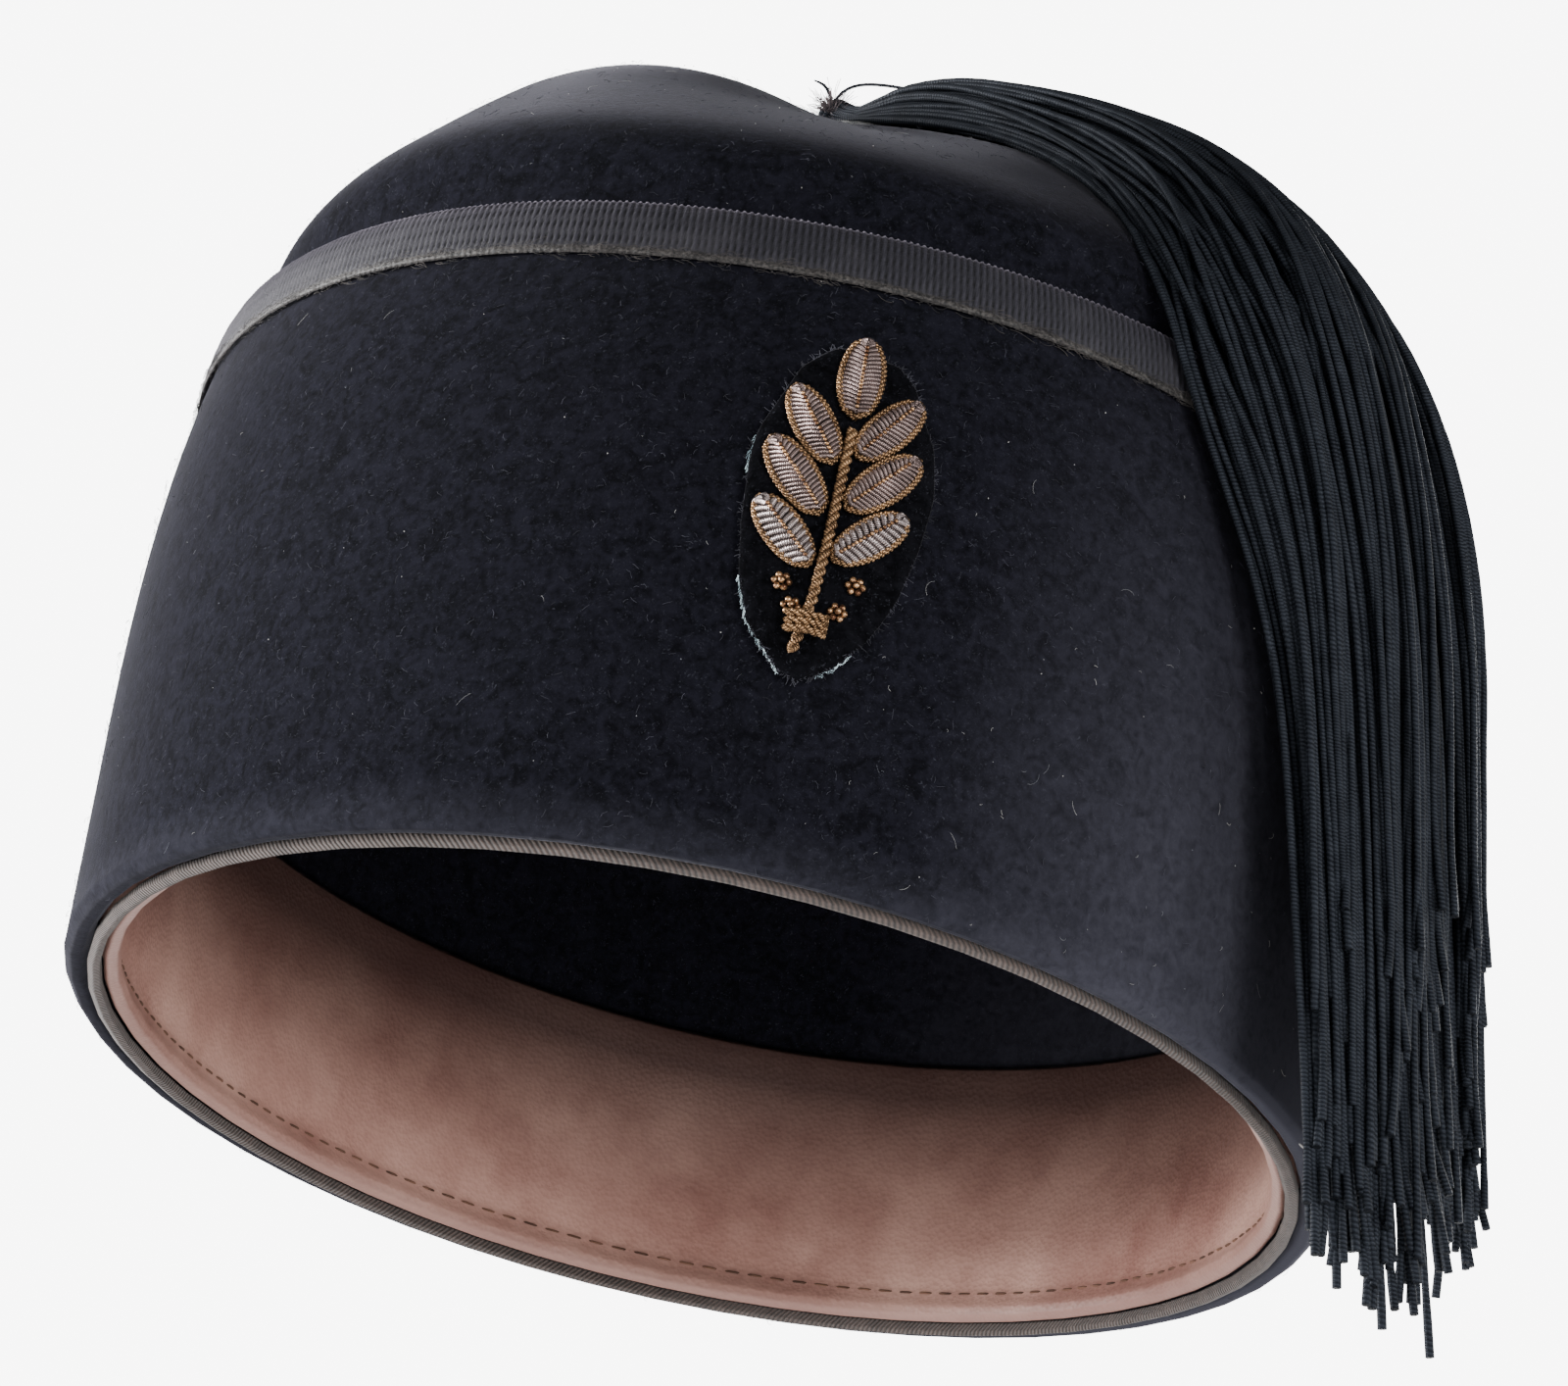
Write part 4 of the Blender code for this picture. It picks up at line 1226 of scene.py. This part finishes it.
def snipped(turn, snips):
    """How far out a hand-cut edge lies at a turn, as a share of the oval that its straight snips touch."""
    for start, end in zip(snips, [*snips[1:], snips[0] + math.tau]):
        for whole in (0.0, math.tau):
            if start <= turn + whole < end:
                return math.cos((end - start) / 2) / math.cos(turn + whole - (start + end) / 2)
    return 1.0


def make_badge_ground(material):
    """The badge's felt backing, cut by hand in short straight snips."""
    chance = random.Random(29)
    snips = [math.radians(360 / SNIPS * number + chance.uniform(-6, 6)) + 0.2 for number in range(SNIPS)]
    mesh = rounded_copy("badge_patch", 2)
    low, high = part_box("badge_patch")
    middle = (low + high) / 2
    for vert in mesh.vertices:
        x = (vert.co.x - middle.x) / (high.x - middle.x)
        z = (vert.co.z - middle.z) / (high.z - middle.z)
        share = min(1.0, math.hypot(x, z) ** 3)
        cut = 1.0 - (1.0 - snipped(math.atan2(z, x) % math.tau, snips)) * share
        vert.co.x = middle.x + (vert.co.x - middle.x) * cut
        vert.co.z = middle.z + (vert.co.z - middle.z) * cut
    ground = add_piece("badge_ground", mesh, material, ["badge_patch"])
    return surface_of(mesh)


def patch_edge(backing, turn):
    """The outermost place of the badge's backing at a turn from its middle, and the way outwards."""
    low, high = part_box("badge_patch")
    middle = (low + high) / 2
    reach = 1.05
    hit = None
    while hit is None:
        reach -= 0.01
        x = middle.x + (high.x - middle.x) * math.cos(turn) * reach
        z = middle.z + (high.z - middle.z) * math.sin(turn) * reach
        hit, _ = patch_place(backing, x, z)
    return hit, Vector((math.cos(turn), 0, math.sin(turn)))


def make_patch_threads(backing, material, chance):
    """Pale threads that stick out at the left and at the foot of the backing's cut edge."""
    routes = []
    for start, end, count in PATCH_THREADS:
        for _ in range(count):
            turn = math.radians(chance.uniform(start, end))
            span = chance.uniform(0.01, 0.05)
            splay = chance.uniform(-0.1, 0.45) * MM
            sunk = Vector((0, chance.uniform(0.0, 0.8) * MM, 0))
            route = []
            for part in (0.0, 0.35, 0.7, 1.0):
                place, outwards = patch_edge(backing, turn + span * part)
                route.append(place + outwards * (0.1 * MM + splay * part) + sunk)
            routes.append(route)
    add_cords("patch_fray", routes, PATCH_THREAD_RADIUS, material, sides=0)


def make_patch_fibres(backing, material, chance):
    """Short felt fibres all round the backing's cut edge."""
    routes = []
    for _ in range(PATCH_FIBRES):
        place, outwards = patch_edge(backing, chance.uniform(0, math.tau))
        aside = Vector((chance.uniform(-0.7, 0.7), chance.uniform(-0.5, 0.3), chance.uniform(-0.7, 0.7)))
        length = chance.uniform(*PATCH_FIBRE_LENGTH)
        way = (outwards + aside).normalized()
        curl = Vector((chance.uniform(-1, 1), 0, chance.uniform(-1, 1))) * 0.5
        start = place - outwards * 0.2 * MM
        routes.append([start + (way + curl * part) * length * part for part in (0.0, 0.5, 1.0)])
    add_cords("patch_fibres", routes, PATCH_FIBRE_RADIUS, material, sides=0)


def make_spray(ground, bullion, purl, cord, beads):
    """The badge's spray: five leaves in bullion, two in thicker purl, the stem, its tie and the berries."""
    for number, node in enumerate(LEAF_NODES, 1):
        wire, radius = (bullion, BULLION_RADIUS) if number <= BULLION_LEAVES else (purl, PURL_RADIUS)
        make_leaf(ground, number, node, wire, radius, cord, beads)
    make_badge_stem(ground, cord)
    make_badge_tie(ground, cord)
    for number, node in enumerate(BERRY_NODES, 1):
        make_berry(ground, number, node, beads)


def make_badge():
    """The badge: its backing, the spray on it, and the threads and fibres at the backing's edge."""
    backing = make_badge_ground(napped_felt("badge_felt", "#040405", "#0B0B0E", "#0B0B0E", sheen=0.06))
    make_spray(
        cad_surface("badge_patch"),
        wound_wire("bronze_bullion"),
        wound_wire("silver_purl"),
        wound_wire("gold_brown_cord"),
        bead_bronze(),
    )
    chance = random.Random(17)
    make_patch_threads(backing, plain_fibre("backing_threads"), chance)
    make_patch_fibres(backing, plain_fibre("cut_felt_fibres"), chance)


def make_hat():
    """The hat, from its felt to its badge."""
    felt = cad_surface("crown_with_cuff")
    make_felt(napped_felt("black_wool_felt", "#08080B", "#121218", "#2F2F36", sheen=0.13))
    make_nap(felt, plain_fibre("wool_nap"))
    lint = plain_fibre("pale_lint")
    chance = random.Random(8)
    make_lint_hairs(felt, lint, chance)
    make_chip(felt, lint)
    make_lint_specks(felt, lint, chance)
    low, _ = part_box("ribbon_binding")
    make_ribbon(grosgrain_ribbon(low.z))
    make_ribbon_fuzz(felt, plain_fibre("ribbon_threads"))
    make_sweatband(skiver_leather())
    make_stitches(plain_fibre("brown_thread"))
    make_tape(twill_cotton())
    form = tassel_form(felt)
    cord = rayon_chainette()
    make_tassel(form, cord)
    make_stub(form.tip, cord)
    make_strays(form.tip, cord)
    make_root_fuzz(form.tip, plain_fibre("frayed_rayon"))
    make_badge()


make_room(make_camera())
make_lights()
make_floor()
make_hat()
